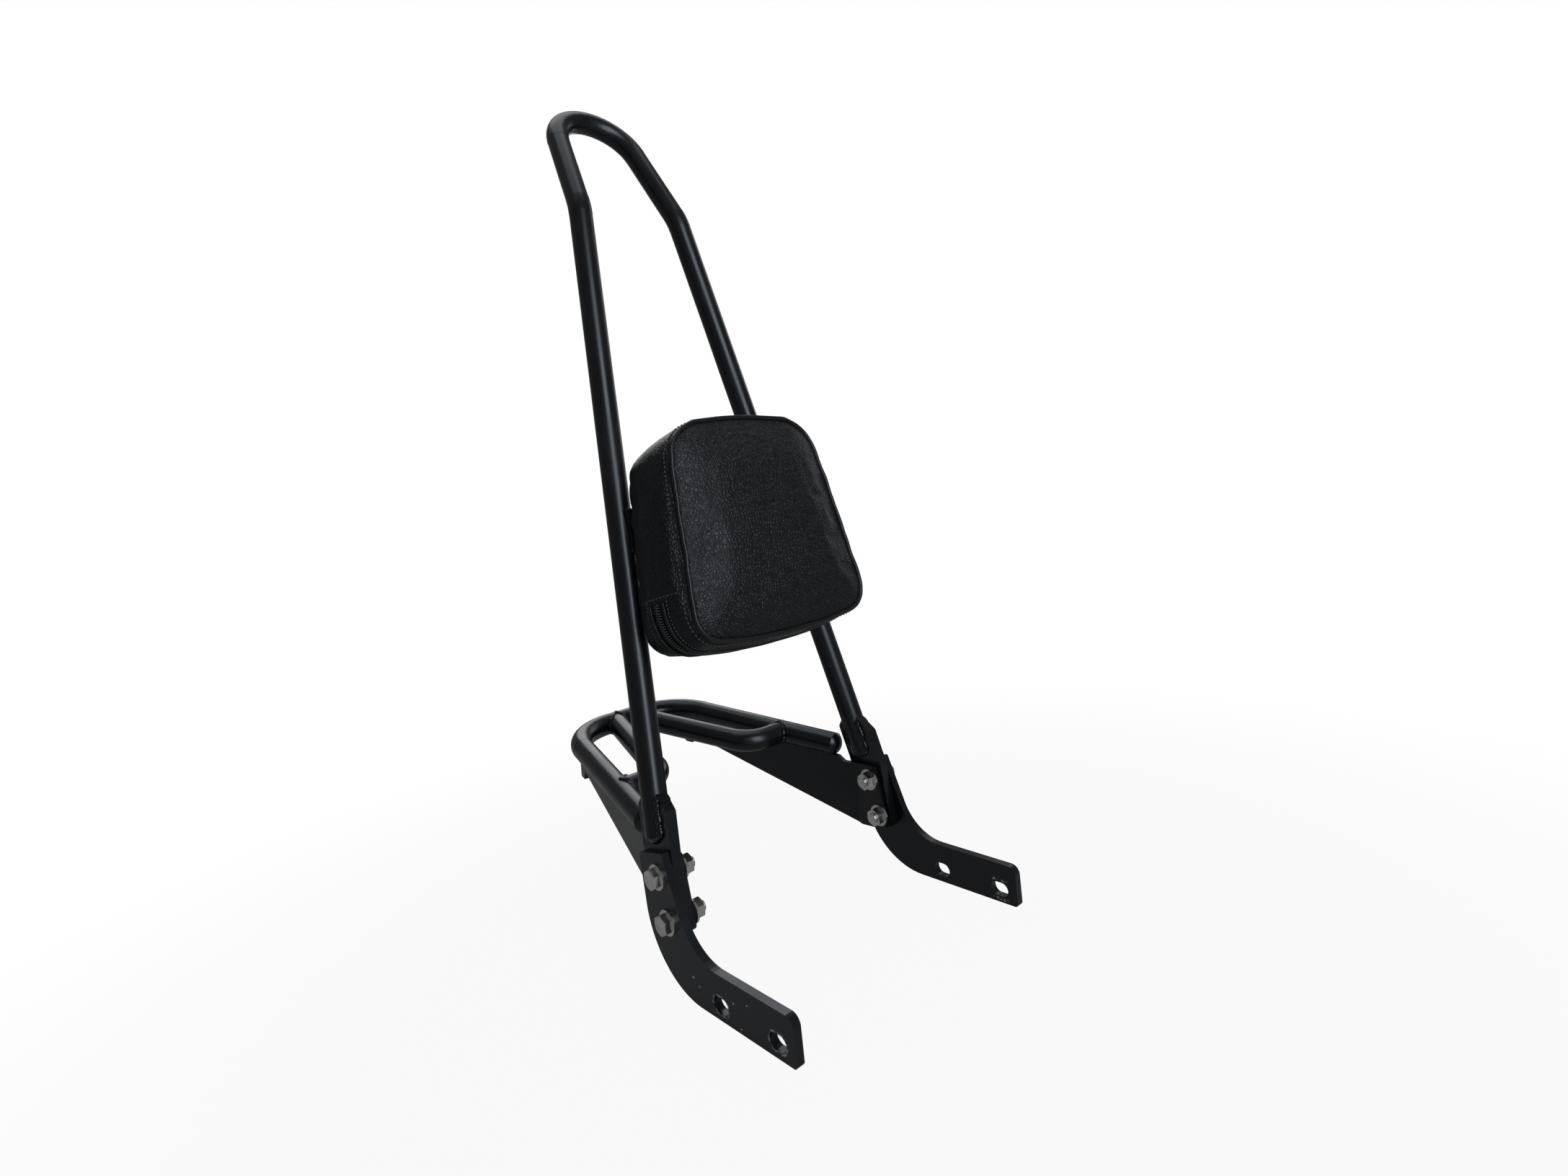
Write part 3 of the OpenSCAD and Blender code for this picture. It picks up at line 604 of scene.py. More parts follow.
def corner_arc(before, corner, after, radius):
    """A path's corner, rounded to a radius."""
    first = (corner - before).normalized()
    second = (after - corner).normalized()
    turn = math.atan2(first.x * second.y - first.y * second.x, first.dot(second))
    start = corner - first * radius * math.tan(abs(turn) / 2.0)
    centre = start + math.copysign(radius, turn) * Vector((-first.y, first.x))
    steps = 16
    return [centre + Matrix.Rotation(turn * step / steps, 2) @ (start - centre) for step in range(steps + 1)]


def pad_outline(count, margin=0.0):
    """The pad in front view, as evenly spaced points that start at the middle of its lower edge."""
    low, high = PAD_HALF - margin, PAD_TOP_HALF - margin
    base, tall = margin + COVER_RAISE, PAD_H - COVER_RAISE - margin
    mid = (low + high) / 2.0 + PAD_BOW
    low_r, high_r = max(3.0, COVER_LOW_R - margin), max(3.0, COVER_TOP_R - margin)
    side_r = (PAD_H / 2.0 - margin) ** 2 / (2.0 * PAD_BOW)
    corners = [
        (0.0, base - COVER_BOW, low * low / (2.0 * COVER_BOW)),
        (low, base, low_r),
        (mid, PAD_H / 2.0, side_r),
        (high, tall, high_r),
        (0.0, tall + COVER_BOW, high * high / (2.0 * COVER_BOW)),
        (-high, tall, high_r),
        (-mid, PAD_H / 2.0, side_r),
        (-low, base, low_r),
    ]
    spots = [Vector(corner[:2]) for corner in corners]
    path = []
    for index, corner in enumerate(corners):
        path += corner_arc(spots[index - 1], spots[index], spots[(index + 1) % len(spots)], corner[2])
    finer = 4
    path = even(path, finer * count, True)
    # A ring that lies wholly above LOWER_EDGE may start at its top, which the cover's remesh evens out
    low_first = [abs(spot.x) + (PAD_H * 10.0 if spot.y > LOWER_EDGE else 0.0) for spot in path]
    start = low_first.index(min(low_first))
    return (path[start:] + path[:start])[::finer]


def cover_point(spot, depth):
    """Point of the cover: its front sits a little to one side and its back spreads towards the foot."""
    share = min((depth - PAD_BACK) / (SEAM_DEPTH - PAD_BACK), 1.0)
    spread = PAD_SPREAD[0] + (PAD_SPREAD[1] - PAD_SPREAD[0]) * min(max(spot.y / PAD_H, 0.0), 1.0)
    if spot.x > 0.0:
        spread *= PAD_FAR_SPREAD
    wide = spot.x * (1.0 + spread * (1.0 - share) ** 0.8 / PAD_HALF)
    drop = PAD_REAR_DROP * (1.0 - share) * max(spot.y / PAD_H, 0.0) ** 2
    return pad_point(wide + PAD_DRIFT * share, depth, spot.y - drop)


def slide(low, high, value):
    """Eases from 0 to 1 between two limits."""
    share = min(max((value - low) / (high - low), 0.0), 1.0)
    return share * share * (3.0 - 2.0 * share)


class PadSkin:
    """Finds the simulated cover's surface, so that trim lies on it."""

    def __init__(self):
        cover = bpy.data.objects["pad_cover"]
        mesh = bmesh.new()
        mesh.from_mesh(cover.data)
        bmesh.ops.scale(mesh, vec=(1.0 / MM,) * 3, verts=mesh.verts)
        self.tree = BVHTree.FromBMesh(mesh)
        mesh.free()
        self.outline = pad_outline(720)

    def at(self, share, depth, lift=0.0):
        """Point of the cover's side at a share of the outline, and the way out of it."""
        count = len(self.outline)
        index = int(round(share * count)) % count
        here = self.outline[index]
        near, clear, reach = 6, 16.0, 40.0
        along = (self.outline[(index + near) % count] - self.outline[index - near]).normalized()
        out = pad_point(along.y, depth, -along.x) - pad_point(0.0, depth, 0.0)
        start = cover_point(here, depth) + out * clear
        hit = self.tree.ray_cast(start, -out, reach)[0]
        if hit is None:
            hit = cover_point(here, depth)
        return hit + out * lift, out

    def run(self, low, high, depth, count, lift=0.0, closed=False):
        """Evenly spaced points along the cover's side, with their outward directions."""
        shares = [low + (high - low) * k / (count if closed else count - 1) for k in range(count)]
        found = [self.at(share, depth, lift) for share in shares]
        return [point for point, _ in found], [out for _, out in found]

    def share_at_height(self, up):
        """Share of the outline, on the pad's +x half, at a height on its side."""
        count = len(self.outline)
        spots = [k for k in range(count // 2) if self.outline[k].x > 0.0]
        return min(spots, key=lambda k: abs(self.outline[k].y - up)) / count


def lay_stitches(bm, points, normals, step, length, thick, sink=0.0):
    """Short threads along a path, each one a rounded bar that dips at both ends."""
    for here, along, up in walk(points, normals, step):
        across = along.cross(up).normalized()
        turns = [k * math.pi / 3.0 for k in range(6)]
        rows = []
        for share, lift, width in STITCH:
            centre = here + along * share * length + up * (lift * thick - sink)
            radius = 0.5 * thick * width
            rows.append([centre + radius * (math.cos(turn) * across + math.sin(turn) * up) for turn in turns])
        skin(bm, rows)


def distance(name, description, default, low, high):
    """A length in metres that the sidebar shows."""
    return FloatProperty(
        name=name, description=description, subtype="DISTANCE", unit="LENGTH",
        default=default, min=low, max=high
    )


def tint(name, description, default):
    """A colour that the sidebar shows."""
    return FloatVectorProperty(
        name=name, description=description, subtype="COLOR", default=default, min=0.0, max=1.0
    )


def share_of(name, description, default, high=1.0):
    """A share that the sidebar shows."""
    return FloatProperty(
        name=name, description=description, subtype="FACTOR", default=default, min=0.0, max=high
    )


class CoatSettings(bpy.types.PropertyGroup):
    colour: tint("Coat colour", "Colour of the powder coat", (0.0030, 0.0033, 0.0042))
    worn_colour: tint("Dusty colour", "Colour where the coat is dusty or rubbed", (0.0065, 0.0070, 0.0082))
    roughness: share_of("Coat roughness", "How broad the coat's highlights are", 0.29)


class LeatherSettings(bpy.types.PropertyGroup):
    colour: tint("Leather colour", "Colour of the raised pebbles", (0.0078, 0.0084, 0.0096))
    # Painted shade: the darker colour painted into the creases between the pebbles
    painted_crease_shade: tint("Painted crease shade", "Painted shade between the pebbles", (0.0012, 0.0013, 0.0016))
    roughness: share_of("Leather roughness", "How matt the leather is", 0.37)
    pebbles: FloatProperty(
        name="Pebbles", description="Pebbles of the grain per metre", default=430.0, min=100.0, max=2000.0)
    pressure: FloatProperty(
        name="Filling pressure", description="Pressure that swells the cover", default=4.0, min=0.0, max=20.0)
    swell: distance("Most swell", "Furthest that the filling moves the cover", 0.0035, 0.0, 0.02)
    stitch_step: distance("Stitch pitch", "Distance between two stitches", 0.0034, 0.001, 0.01)


class WeldSettings(bpy.types.PropertyGroup):
    radius: distance("Bead radius", "Half the width of a bead", 0.003, 0.001, 0.006)
    ripple: distance("Ripple pitch", "Distance between two ripples of a bead", 0.0032, 0.0005, 0.01)
    depth: share_of("Ripple depth", "Height of a ripple as a share of the bead's radius", 0.07, 0.5)


class ZipSettings(bpy.types.PropertyGroup):
    coil_width: distance("Coil width", "Width of the closed coil", 0.0066, 0.003, 0.01)
    tooth_step: distance("Coil pitch", "Distance between two turns of the coil", 0.0019, 0.0006, 0.003)


class ThreadSettings(bpy.types.PropertyGroup):
    turns: IntProperty(
        name="Thread turns", description="Turns of thread that show past a nut", default=2, min=1, max=6)


class SISSY_OT_camera(bpy.types.Operator):
    """Camera at the photograph's viewpoint"""

    bl_idname = "sissy.camera"
    bl_label = "Camera"

    def execute(self, context):
        lens = bpy.data.cameras.new("View")
        wide, tall, focal = 2175.0, 1631.0, 1169.2
        centre_x, centre_y = 1077.34, 708.22
        lens.sensor_fit = "HORIZONTAL"
        lens.sensor_width = 36.0
        lens.lens = lens.sensor_width * focal / wide
        lens.shift_x = (wide / 2.0 - centre_x) / wide
        lens.shift_y = (centre_y - tall / 2.0) / wide
        lens.clip_start = 0.01
        lens.clip_end = 50.0
        view = bpy.data.objects.new("View", lens)
        right = Vector((0.74355, -0.6605, -0.10424))
        down = Vector((-0.09848, 0.04603, -0.99407))
        ahead = Vector((0.66138, 0.74941, -0.03082))
        turn = Matrix((right, -down, -ahead)).transposed().to_4x4()
        view.matrix_world = Matrix.Translation((-0.4096, -0.4072, 0.3221)) @ turn
        context.scene.collection.objects.link(view)
        context.scene.camera = view
        return {"FINISHED"}


class SISSY_OT_stage(bpy.types.Operator):
    """Pale floor, white surroundings and soft studio lamps"""

    bl_idname = "sissy.stage"
    bl_label = "Stage"

    def floor(self):
        """White to the camera, dim in reflections, and a shade darker near the part."""
        paint = Paint("White floor")
        path = paint.tree.nodes.new("ShaderNodeLightPath")
        mirrored = Value(paint, path.outputs["Is Glossy Ray"]) * 0.1
        seen = Value(paint, path.outputs["Is Camera Ray"]).most(mirrored)
        matt = paint.node("BsdfDiffuse", {}, Color=(0.26, 0.26, 0.26, 1.0))
        glow = paint.node("Emission", {}, Color=(1.0, 1.0, 1.0, 1.0), Strength=1.0)
        x, y, _ = paint.axes()
        far = ((x * x + y * y) ** 0.5).ramp(0.3, 0.8, 0.93, 1.0)
        paint.output(paint.node("MixShader", {}, seen * far, matt, glow))
        bm = bmesh.new()
        bmesh.ops.create_grid(bm, x_segments=2, y_segments=2, size=6.0)
        bmesh.ops.translate(bm, vec=(0.0, 0.0, CAD_BOX[0][2] - 0.0005), verts=bm.verts)
        floor = link_mesh("floor", bm)
        floor.data.materials.append(paint.material)

    def surround(self, scene):
        """White to the camera, and a dim even light on the part."""
        world = scene.world or bpy.data.worlds.new("Studio")
        scene.world = world
        world.use_nodes = True
        tree = world.node_tree
        tree.nodes.clear()
        out = tree.nodes.new("ShaderNodeOutputWorld")
        path = tree.nodes.new("ShaderNodeLightPath")
        mix = tree.nodes.new("ShaderNodeMixShader")
        tree.links.new(path.outputs["Is Camera Ray"], mix.inputs[0])
        for socket, strength in ((mix.inputs[1], 0.16), (mix.inputs[2], 1.0)):
            glow = tree.nodes.new("ShaderNodeBackground")
            glow.inputs[0].default_value = (1.0, 1.0, 1.0, 1.0)
            glow.inputs[1].default_value = strength
            tree.links.new(glow.outputs[0], socket)
        tree.links.new(mix.outputs[0], out.inputs[0])

    def execute(self, context):
        scene = context.scene
        scene.view_settings.view_transform = "Standard"
        self.floor()
        self.surround(scene)
        for name, place, size, power in LAMPS:
            light = bpy.data.lights.new(name, "AREA")
            light.shape = "RECTANGLE"
            light.size, light.size_y = size
            light.energy = power
            lamp = bpy.data.objects.new(name, light)
            lamp.location = place
            lamp.rotation_euler = (Vector(LAMP_AIM) - Vector(place)).to_track_quat("-Z", "Y").to_euler()
            scene.collection.objects.link(lamp)
        return {"FINISHED"}


class SISSY_OT_coat(bpy.types.Operator):
    """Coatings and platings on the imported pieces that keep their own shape"""

    bl_idname = "sissy.coat"
    bl_label = "Coatings"

    def execute(self, context):
        finishes = {
            "side_plate": "chipped",
            "frame_": "zinc",
            "head_washers": "zinc",
            "nut_washers": "zinc",
            "pad_screw": "zinc",
            "pad_tee_nuts": "zinc",
            "pad_base_board": "ply",
            "pad_strap": "powder",
            "pad_": "trim",
            "zip_tape": "cloth",
            "zip_coil": "coil",
        }
        for name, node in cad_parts.items():
            kind = next((finishes[start] for start in finishes if name.startswith(start)), "powder")
            node.data.materials.clear()
            node.data.materials.append(coated(kind))
            for face in node.data.polygons:
                face.material_index = 0
        return {"FINISHED"}


class SISSY_OT_cover(bpy.types.Operator):
    """The pad's leather cover, swelled over its foam by a cloth simulation"""

    bl_idname = "sissy.cover"
    bl_label = "Pad cover"

    def shell(self):
        """The cover before it swells, drawn ring by ring from its back to its crown."""
        plan = [(PAD_BACK, 0.6), (PAD_BACK + 0.4, -1.2), (PAD_BACK + 2.0, -SIDE_OUT)]
        steps = 8
        for k in range(1, steps + 1):
            share = k / steps
            depth = PAD_BACK + 2.0 + (SEAM_DEPTH - PAD_BACK - 4.0) * share
            plan.append((depth, -SIDE_OUT - SIDE_BULGE * math.sin(math.pi * share ** 0.7) + 0.4 * share))
        plan.append((SEAM_DEPTH, -1.2))
        plan += [(SEAM_DEPTH + PAD_CROWN * rise, margin) for rise, margin in CROWN]
        count = 144
        rings = [[cover_point(spot, depth) for spot in pad_outline(count, margin)] for depth, margin in plan]
        bm = bmesh.new()
        skin(bm, rings)
        bmesh.ops.recalc_face_normals(bm, faces=bm.faces)
        bmesh.ops.triangulate(bm, faces=bm.faces)
        bmesh.ops.scale(bm, vec=(MM, MM, MM), verts=bm.verts)
        return link_mesh("pad_cover", bm)

    def settle(self, context, made, modifier):
        """Applies a modifier and keeps its result as the mesh."""
        graph = context.evaluated_depsgraph_get()
        result = bpy.data.meshes.new_from_object(made.evaluated_get(graph))
        made.modifiers.remove(modifier)
        made.data = result

    def fill(self, context, cover, look):
        """Swells the cover under its filling's pressure."""
        cloth = cover.modifiers.new("Filling", "CLOTH")
        settings = cloth.settings
        settings.quality = 5
        settings.mass = 0.3
        settings.tension_stiffness = 25.0
        settings.compression_stiffness = 25.0
        settings.shear_stiffness = 12.0
        settings.bending_stiffness = 1.2
        settings.use_pressure = True
        settings.uniform_pressure_force = look.pressure
        settings.effector_weights.gravity = 0.0
        first, last = 1, 20
        cloth.point_cache.frame_start = first
        cloth.point_cache.frame_end = last
        for step in range(first, last + 1):
            context.scene.frame_set(step)
        self.settle(context, cover, cloth)
        context.scene.frame_set(first)

    def hold(self, cover, rest, look):
        """Caps the swell, and holds the cover at its seam and along its back edge."""
        for vert, start in zip(cover.data.vertices, rest):
            _, depth, _ = pad_frame(start / MM)
            free = slide(1.0, 9.0, abs(depth - SEAM_DEPTH)) * slide(PAD_BACK + 0.5, PAD_BACK + 8.0, depth)
            step = vert.co - start
            if step.length > look.swell:
                step *= look.swell / step.length
            vert.co = start + step * (0.15 + 0.85 * free)

    def drawn_in(self, point, out):
        """How far a seam or fold draws a point of the cover inwards, in millimetres."""
        x, depth, up = pad_frame(point)
        side = slide(0.15, 0.5, 1.0 - abs(out))
        front = math.exp(-((depth - SEAM_DEPTH - 0.8) / 2.2) ** 2) * side
        low = 1.0 - slide(ZIP_END - 2.0, ZIP_END + 1.0, up)
        zipped = math.exp(-((abs(depth - ZIP_MID) / 5.5) ** 4)) * low * side
        seam_up = ZIP_END + 0.12 * (depth - ZIP_MID)
        cross = math.exp(-((up - seam_up) / 1.1) ** 2) * side * slide(50.0, 70.0, abs(x))
        return 1.5 * front + 1.5 * zipped + 0.7 * cross

    def wrinkle(self, cover):
        """Sinks the seams and lets the leather wave a little."""
        front = pad_front()
        bm = bmesh.new()
        bm.from_mesh(cover.data)
        bm.normal_update()
        for vert in bm.verts:
            spot = vert.co / MM
            drawn = self.drawn_in(spot, vert.normal.dot(front))
            soft = 0.35 * noise.noise(spot * 0.035) + 0.16 * noise.noise(spot * 0.11)
            vert.co = vert.co + vert.normal * (soft - drawn) * MM
        bm.to_mesh(cover.data)
        bm.free()

    def execute(self, context):
        look = context.scene.sissy_leather
        cover = self.shell()
        context.view_layer.objects.active = cover
        remesh = cover.modifiers.new("Voxels", "REMESH")
        remesh.mode = "VOXEL"
        remesh.voxel_size = 0.0042
        self.settle(context, cover, remesh)
        rest = [vert.co.copy() for vert in cover.data.vertices]
        self.fill(context, cover, look)
        self.hold(cover, rest, look)
        smooth = cover.modifiers.new("Smooth", "SUBSURF")
        smooth.levels = smooth.render_levels = 1
        self.settle(context, cover, smooth)
        self.wrinkle(cover)
        cover.data.shade_smooth()
        cover.data.materials.clear()
        cover.data.materials.append(coated("leather"))
        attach(cover, BODY)
        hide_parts("pad_cushion", "pad_side_band", "pad_back_panel")
        return {"FINISHED"}


class SISSY_OT_seams(bpy.types.Operator):
    """Piping, cross seams and topstitching of the cover"""

    bl_idname = "sissy.seams"
    bl_label = "Seams"

    def piping(self, cover):
        """The cord sewn into the front seam, evened out so that it runs smoothly."""
        count, radius, lift = 360, 1.8, 1.2
        points, normals = cover.run(0.0, 1.0, SEAM_DEPTH + 0.9, count, lift, True)
        for _ in range(3):
            points = [(points[k - 1] + 2.0 * points[k] + points[(k + 1) % count]) / 4.0 for k in range(count)]
        bm = bmesh.new()
        skin(bm, round_rings(points, [radius] * count, normals, 10, True), closed=True)
        # The cord's leather is painted paler, as a painted highlight along the piping
        piece("pad_cover_piping", bm, "cord", ["pad_piping"], 80.0)

    def execute(self, context):
        cover = PadSkin()
        self.piping(cover)
        bm = bmesh.new()
        step = context.scene.sissy_leather.stitch_step / MM
        length, thick, fine = 2.4, 0.75, 0.6
        end = cover.share_at_height(ZIP_END + 3.0)
        for low, high, count in ((end, 1.0 - end, 700), (-end, end, 300)):
            points, normals = cover.run(low, high, SEAM_DEPTH - 4.2, count)
            lay_stitches(bm, points, normals, step, length, thick)
        for side in (-1.0, 1.0):
            share = cover.share_at_height(ZIP_END + 3.4) * side
            spots = [cover.at(share, PAD_BACK + 5.0 + 40.0 * k / 39.0) for k in range(40)]
            lay_stitches(bm, [spot for spot, _ in spots], [out for _, out in spots], step, length, fine, 0.05)
        for offset in (-9.6, 9.6):
            points, normals = cover.run(-end, end, ZIP_MID + offset, 300)
            lay_stitches(bm, points, normals, step * 0.8, 1.9, fine)
        piece("pad_stitching", bm, "thread")
        return {"FINISHED"}


class SISSY_OT_zip(bpy.types.Operator):
    """The zip round the pad's lower half: tape, folded leather lips and closed coil"""

    bl_idname = "sissy.zip"
    bl_label = "Zip"

    def execute(self, context):
        look = context.scene.sissy_zip
        cover = PadSkin()
        end = cover.share_at_height(ZIP_END - 1.0)
        count = 240
        points, normals = cover.run(-end, end, ZIP_MID, count, 0.1)
        bm = bmesh.new()
        skin(bm, round_rings(points, [7.0] * count, normals, 12, False, 0.05))
        piece("pad_zip_tape", bm, "cloth", ["zip_tape"])
        bm = bmesh.new()
        for offset in (-6.2, 6.2):
            points, normals = cover.run(-end, end, ZIP_MID + offset, count, 0.5)
            radii = [1.7 * (1.0 + 0.08 * noise.noise(point * 0.25)) for point in points]
            skin(bm, round_rings(points, radii, normals, 10, False, 0.62))
        piece("pad_zip_lips", bm, "trim", (), 80.0)
        bm = bmesh.new()
        points, normals = cover.run(-end, end, ZIP_MID, 900, 1.5)
        half_turn = look.tooth_step / MM / 2.0
        half_width = look.coil_width / MM / 2.0
        side = pad_front() * half_width
        radii = [radius for _, _, radius in TOOTH]
        for here, along, up in walk(points, normals, half_turn, 0.0):
            side = -side
            spots = [here + side * share + up * lift for share, lift, _ in TOOTH]
            skin(bm, round_rings(spots, radii, [along] * len(spots), 6))
        piece("pad_zip_coil", bm, "coil", ["zip_coil"])
        return {"FINISHED"}


class SISSY_OT_hoop_welds(bpy.types.Operator):
    """Beads where the hoop's slotted ends are welded over the upright plates"""

    bl_idname = "sissy.hoop_welds"
    bl_label = "Hoop welds"

    def execute(self, context):
        radius = context.scene.sissy_weld.radius / MM
        seat = math.sqrt(TUBE_R ** 2 - UPRIGHT_T ** 2 / 4.0)
        lean = math.atan(math.tan(LEG_LEAN) * math.cos(LEG_IN))
        along = Vector((math.sin(lean), math.cos(lean)))
        across = Vector((math.cos(lean), -math.sin(lean)))
        top, foot, dip = UPRIGHT_TOP - 3.0, LEG_FOOT + 4.0, 5.6
        turns = [math.pi * step / 24.0 for step in range(25)]
        path = [(-seat, top)]
        path += [(-seat * math.cos(turn), foot - dip * math.sin(turn)) for turn in turns]
        path += [(seat, top)]
        flats = [along * up + across * off for off, up in path]
        plug = along * (foot + 0.6)
        bm = bmesh.new()
        for side in (-1.0, 1.0):
            for face in (-1.0, 1.0):
                off = face * (UPRIGHT_T / 2.0 + BEAD_LIFT)
                spots = [leg_plate_point(side, off, flat.x, flat.y) for flat in flats]
                out = leg_plate_point(side, face, 0.0, 0.0) - leg_plate_point(side, 0.0, 0.0, 0.0)
                bead(bm, spots, lambda point, out=out: out, radius, side * 3.0 + face)
                dome = bmesh.ops.create_uvsphere(bm, u_segments=24, v_segments=12, radius=1.0)["verts"]
                bmesh.ops.scale(bm, vec=(TUBE_R - UPRIGHT_T / 2.0 - 0.15, seat - 0.4, 6.0), verts=dome)
                for turn in (Matrix.Rotation(-lean, 3, "X"), Matrix.Rotation(-side * LEG_IN, 3, "Y")):
                    bmesh.ops.rotate(bm, verts=dome, matrix=turn, cent=(0.0, 0.0, 0.0))
                place = leg_plate_point(side, face * (UPRIGHT_T / 2.0), plug.x, plug.y)
                bmesh.ops.translate(bm, verts=dome, vec=place)
        piece("hoop_weld_beads", bm, "bead", ["hoop_welds"], 70.0)
        return {"FINISHED"}


class SISSY_OT_rack_welds(bpy.types.Operator):
    """Coped beads of the inner tubes and stitches of the gussets"""

    bl_idname = "sissy.rack_welds"
    bl_label = "Rack welds"

    def saddle(self, bm, side, place, direction, other, radius, seed, clear=-RAIL_X):
        """Bead round a tube that is coped to another of the same size, kept past x = clear."""
        normal = Vector((-direction.y, direction.x))
        across = Vector((-other.y, other.x))
        sine = direction.dot(across)
        tilt = normal.dot(across)
        spots = []
        for step in range(73):
            turn = 2.0 * math.pi * step / 72.0
            reach = TUBE_R * (abs(math.cos(turn)) / abs(sine) - math.cos(turn) * tilt / sine)
            flat = place + direction * (reach + BEAD_LIFT) + normal * TUBE_R * math.cos(turn)
            spots.append(rack_point(side * max(flat.x, clear), flat.y, TUBE_R * math.sin(turn)))
        centre = rack_point(side * (place.x + direction.x * TUBE_R), place.y + direction.y * TUBE_R, 0.0)
        bead(bm, spots, lambda point: (point - centre).normalized(), radius, seed, 0.75)

    def stitch(self, bm, side, face, start, radius, seed):
        """Short bead in the corner of a rail and its gusset, on one face of the gusset."""
        slope = math.tan(RAIL_IN)
        corner_up = -TUBE_R * 0.86 + (0.9 if face < 0 else -0.5)
        spots = []
        for run in (start, start + STITCH_L * math.cos(RAIL_IN)):
            off = GUSSET_X - slope * run + face * (GUSSET_T / 2.0 + 0.5)
            spots.append(rack_point(side * off, run, corner_up))
        out = Vector((side * face, 0.0, -0.7)).normalized()
        bead(bm, spots, lambda point: out, radius, seed, 0.8)

    def execute(self, context):
        radius = context.scene.sissy_weld.radius / MM * 0.65
        rail = Vector((-math.sin(RAIL_IN), math.cos(RAIL_IN)))
        inner_end = Vector((TUBE_R / math.cos(INNER_SPLAY) + INNER_GAP / 2.0, RACK_L))
        splay = Vector((math.sin(INNER_SPLAY), -math.cos(INNER_SPLAY)))
        leg_y = RACK_L - INNER_L
        rail_end = Vector((RAIL_X - math.tan(RAIL_IN) * leg_y, leg_y))
        start = RAIL_FRONT + 3.0
        step = (GUSSET_L - 2.0 * start) / 2.0
        bm = bmesh.new()
        for side in (-1.0, 1.0):
            self.saddle(bm, side, rail_end, Vector((-1.0, 0.0)), rail, radius, side)
            self.saddle(bm, side, inner_end, splay, Vector((1.0, 0.0)), radius, side + 5.0, 1.6)
            for index in range(3):
                for face in (-1.0, 1.0):
                    self.stitch(bm, side, face, start + index * step, radius * 0.8, index + face)
        piece("rack_weld_beads", bm, "bead", ["rack_welds"], 70.0)
        return {"FINISHED"}


class SISSY_OT_strap_welds(bpy.types.Operator):
    """Beads where the pad's strap crosses the hoop's legs"""

    bl_idname = "sissy.strap_welds"
    bl_label = "Strap welds"

    def execute(self, context):
        radius = context.scene.sissy_weld.radius / MM * 0.8
        reach = TUBE_R + 0.6
        half = UPRIGHT_X - math.tan(LEG_IN) * (PAD_UP + STRAP_UP * math.cos(LEG_LEAN) - BEND_UP)
        turns = [math.radians(-50.0 + 44.0 * step / 12.0) for step in range(13)]
        bm = bmesh.new()
        for side in (-1.0, 1.0):
            for edge in (-1.0, 1.0):
                up = STRAP_UP + edge * (STRAP_W / 2.0 + 0.6)
                centre = half - edge * math.tan(LEG_IN) * STRAP_W / 2.0
                spots = []
                for turn in turns:
                    x = side * (centre + reach * math.sin(turn))
                    spots.append(pad_point(x, reach * math.cos(turn) + 0.4, up))
                way = (pad_point(0.0, 1.0, edge) - pad_point(0.0, 0.0, 0.0)).normalized()
                bead(bm, spots, lambda point, way=way: way, radius, side + edge)
        piece("strap_weld_beads", bm, "bead", ["strap_welds"], 70.0)
        return {"FINISHED"}


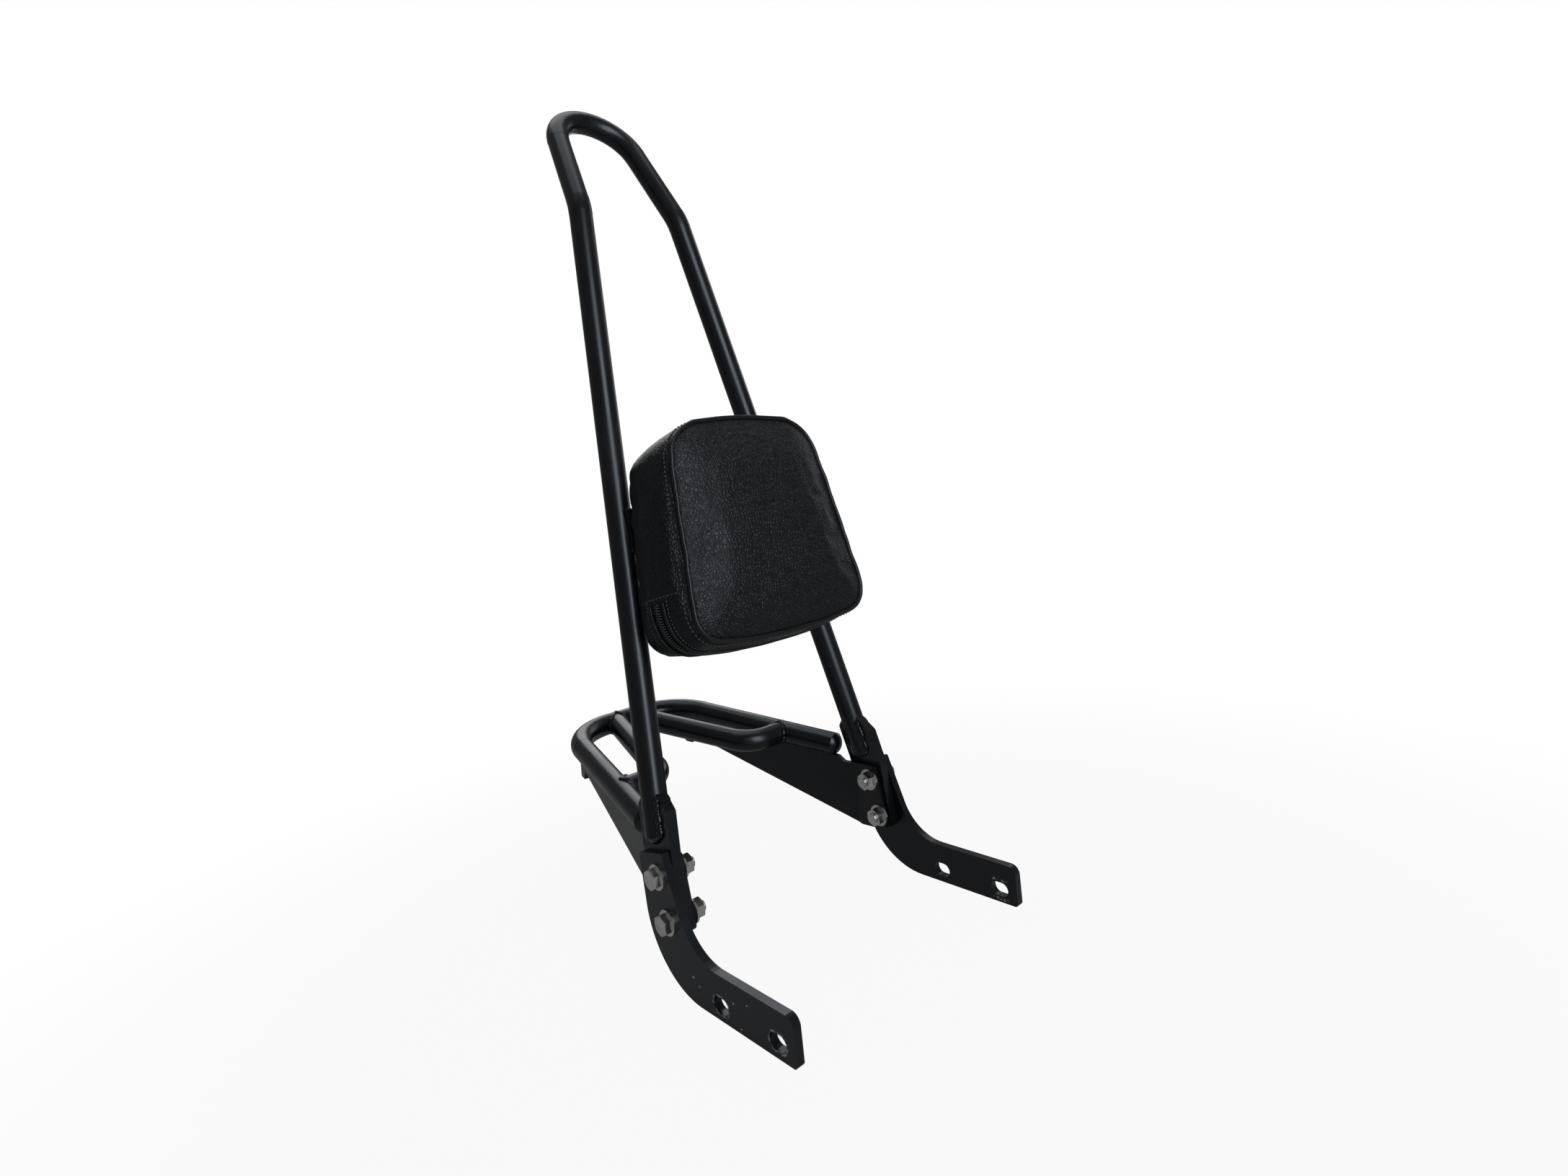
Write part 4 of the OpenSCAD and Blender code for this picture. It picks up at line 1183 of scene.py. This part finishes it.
class SISSY_OT_threads(bpy.types.Operator):
    """Thread that shows on the bolt ends past their nuts"""

    bl_idname = "sissy.threads"
    bl_label = "Threads"

    def execute(self, context):
        start = INSIDE_X - WASHER_T - NUT_T - 0.1
        back, up = UPPER_BOLT
        lower = (back - BOLT_PITCH * math.sin(BOLT_LEAN), up - BOLT_PITCH * math.cos(BOLT_LEAN))
        steps = 24
        total = context.scene.sissy_thread.turns * steps
        bm = bmesh.new()
        for side in (-1.0, 1.0):
            for y, z in (UPPER_BOLT, lower):
                spots, outs, radii = [], [], []
                for step in range(total + 1):
                    turn = 2.0 * math.pi * step / steps
                    out = Vector((0.0, math.cos(turn), math.sin(turn)))
                    reach = start - (THREAD_OUT - 0.3) * step / total
                    spots.append(Vector((side * reach, y, z)) + out * THREAD_MID_R)
                    outs.append(out)
                    radii.append(THREAD_RIDGE * min(1.0, 0.25 + min(step, total - step) / 6.0))
                skin(bm, round_rings(spots, radii, outs, 6, False, 0.9))
        piece("bolt_threads", bm, "zinc")
        return {"FINISHED"}


OPERATORS = (
    SISSY_OT_camera,
    SISSY_OT_stage,
    SISSY_OT_coat,
    SISSY_OT_cover,
    SISSY_OT_seams,
    SISSY_OT_zip,
    SISSY_OT_hoop_welds,
    SISSY_OT_rack_welds,
    SISSY_OT_strap_welds,
    SISSY_OT_threads,
)

SETTINGS = {
    "sissy_coat": CoatSettings,
    "sissy_leather": LeatherSettings,
    "sissy_weld": WeldSettings,
    "sissy_zip": ZipSettings,
    "sissy_thread": ThreadSettings,
}


class SISSY_PT_panel(bpy.types.Panel):
    """Lists the settings and the steps"""

    bl_label = "Sissy bar"
    bl_space_type = "VIEW_3D"
    bl_region_type = "UI"
    bl_category = "Sissy Bar"

    def draw(self, context):
        for group in SETTINGS:
            box = self.layout.box()
            look = getattr(context.scene, group)
            for name in look.__annotations__:
                box.prop(look, name)
        for step in OPERATORS:
            self.layout.operator(step.bl_idname)


def register():
    for name, group in SETTINGS.items():
        bpy.utils.register_class(group)
        setattr(bpy.types.Scene, name, PointerProperty(type=group))
    for step in OPERATORS:
        bpy.utils.register_class(step)
    bpy.utils.register_class(SISSY_PT_panel)


def unregister():
    bpy.utils.unregister_class(SISSY_PT_panel)
    for step in reversed(OPERATORS):
        bpy.utils.unregister_class(step)
    for name, group in reversed(SETTINGS.items()):
        delattr(bpy.types.Scene, name)
        bpy.utils.unregister_class(group)


def main():
    register()
    bpy.ops.sissy.camera()
    bpy.ops.sissy.stage()
    bpy.ops.sissy.coat()
    bpy.ops.sissy.cover()
    bpy.ops.sissy.seams()
    bpy.ops.sissy.zip()
    bpy.ops.sissy.hoop_welds()
    bpy.ops.sissy.rack_welds()
    bpy.ops.sissy.strap_welds()
    bpy.ops.sissy.threads()


if __name__ == "__main__":
    main()
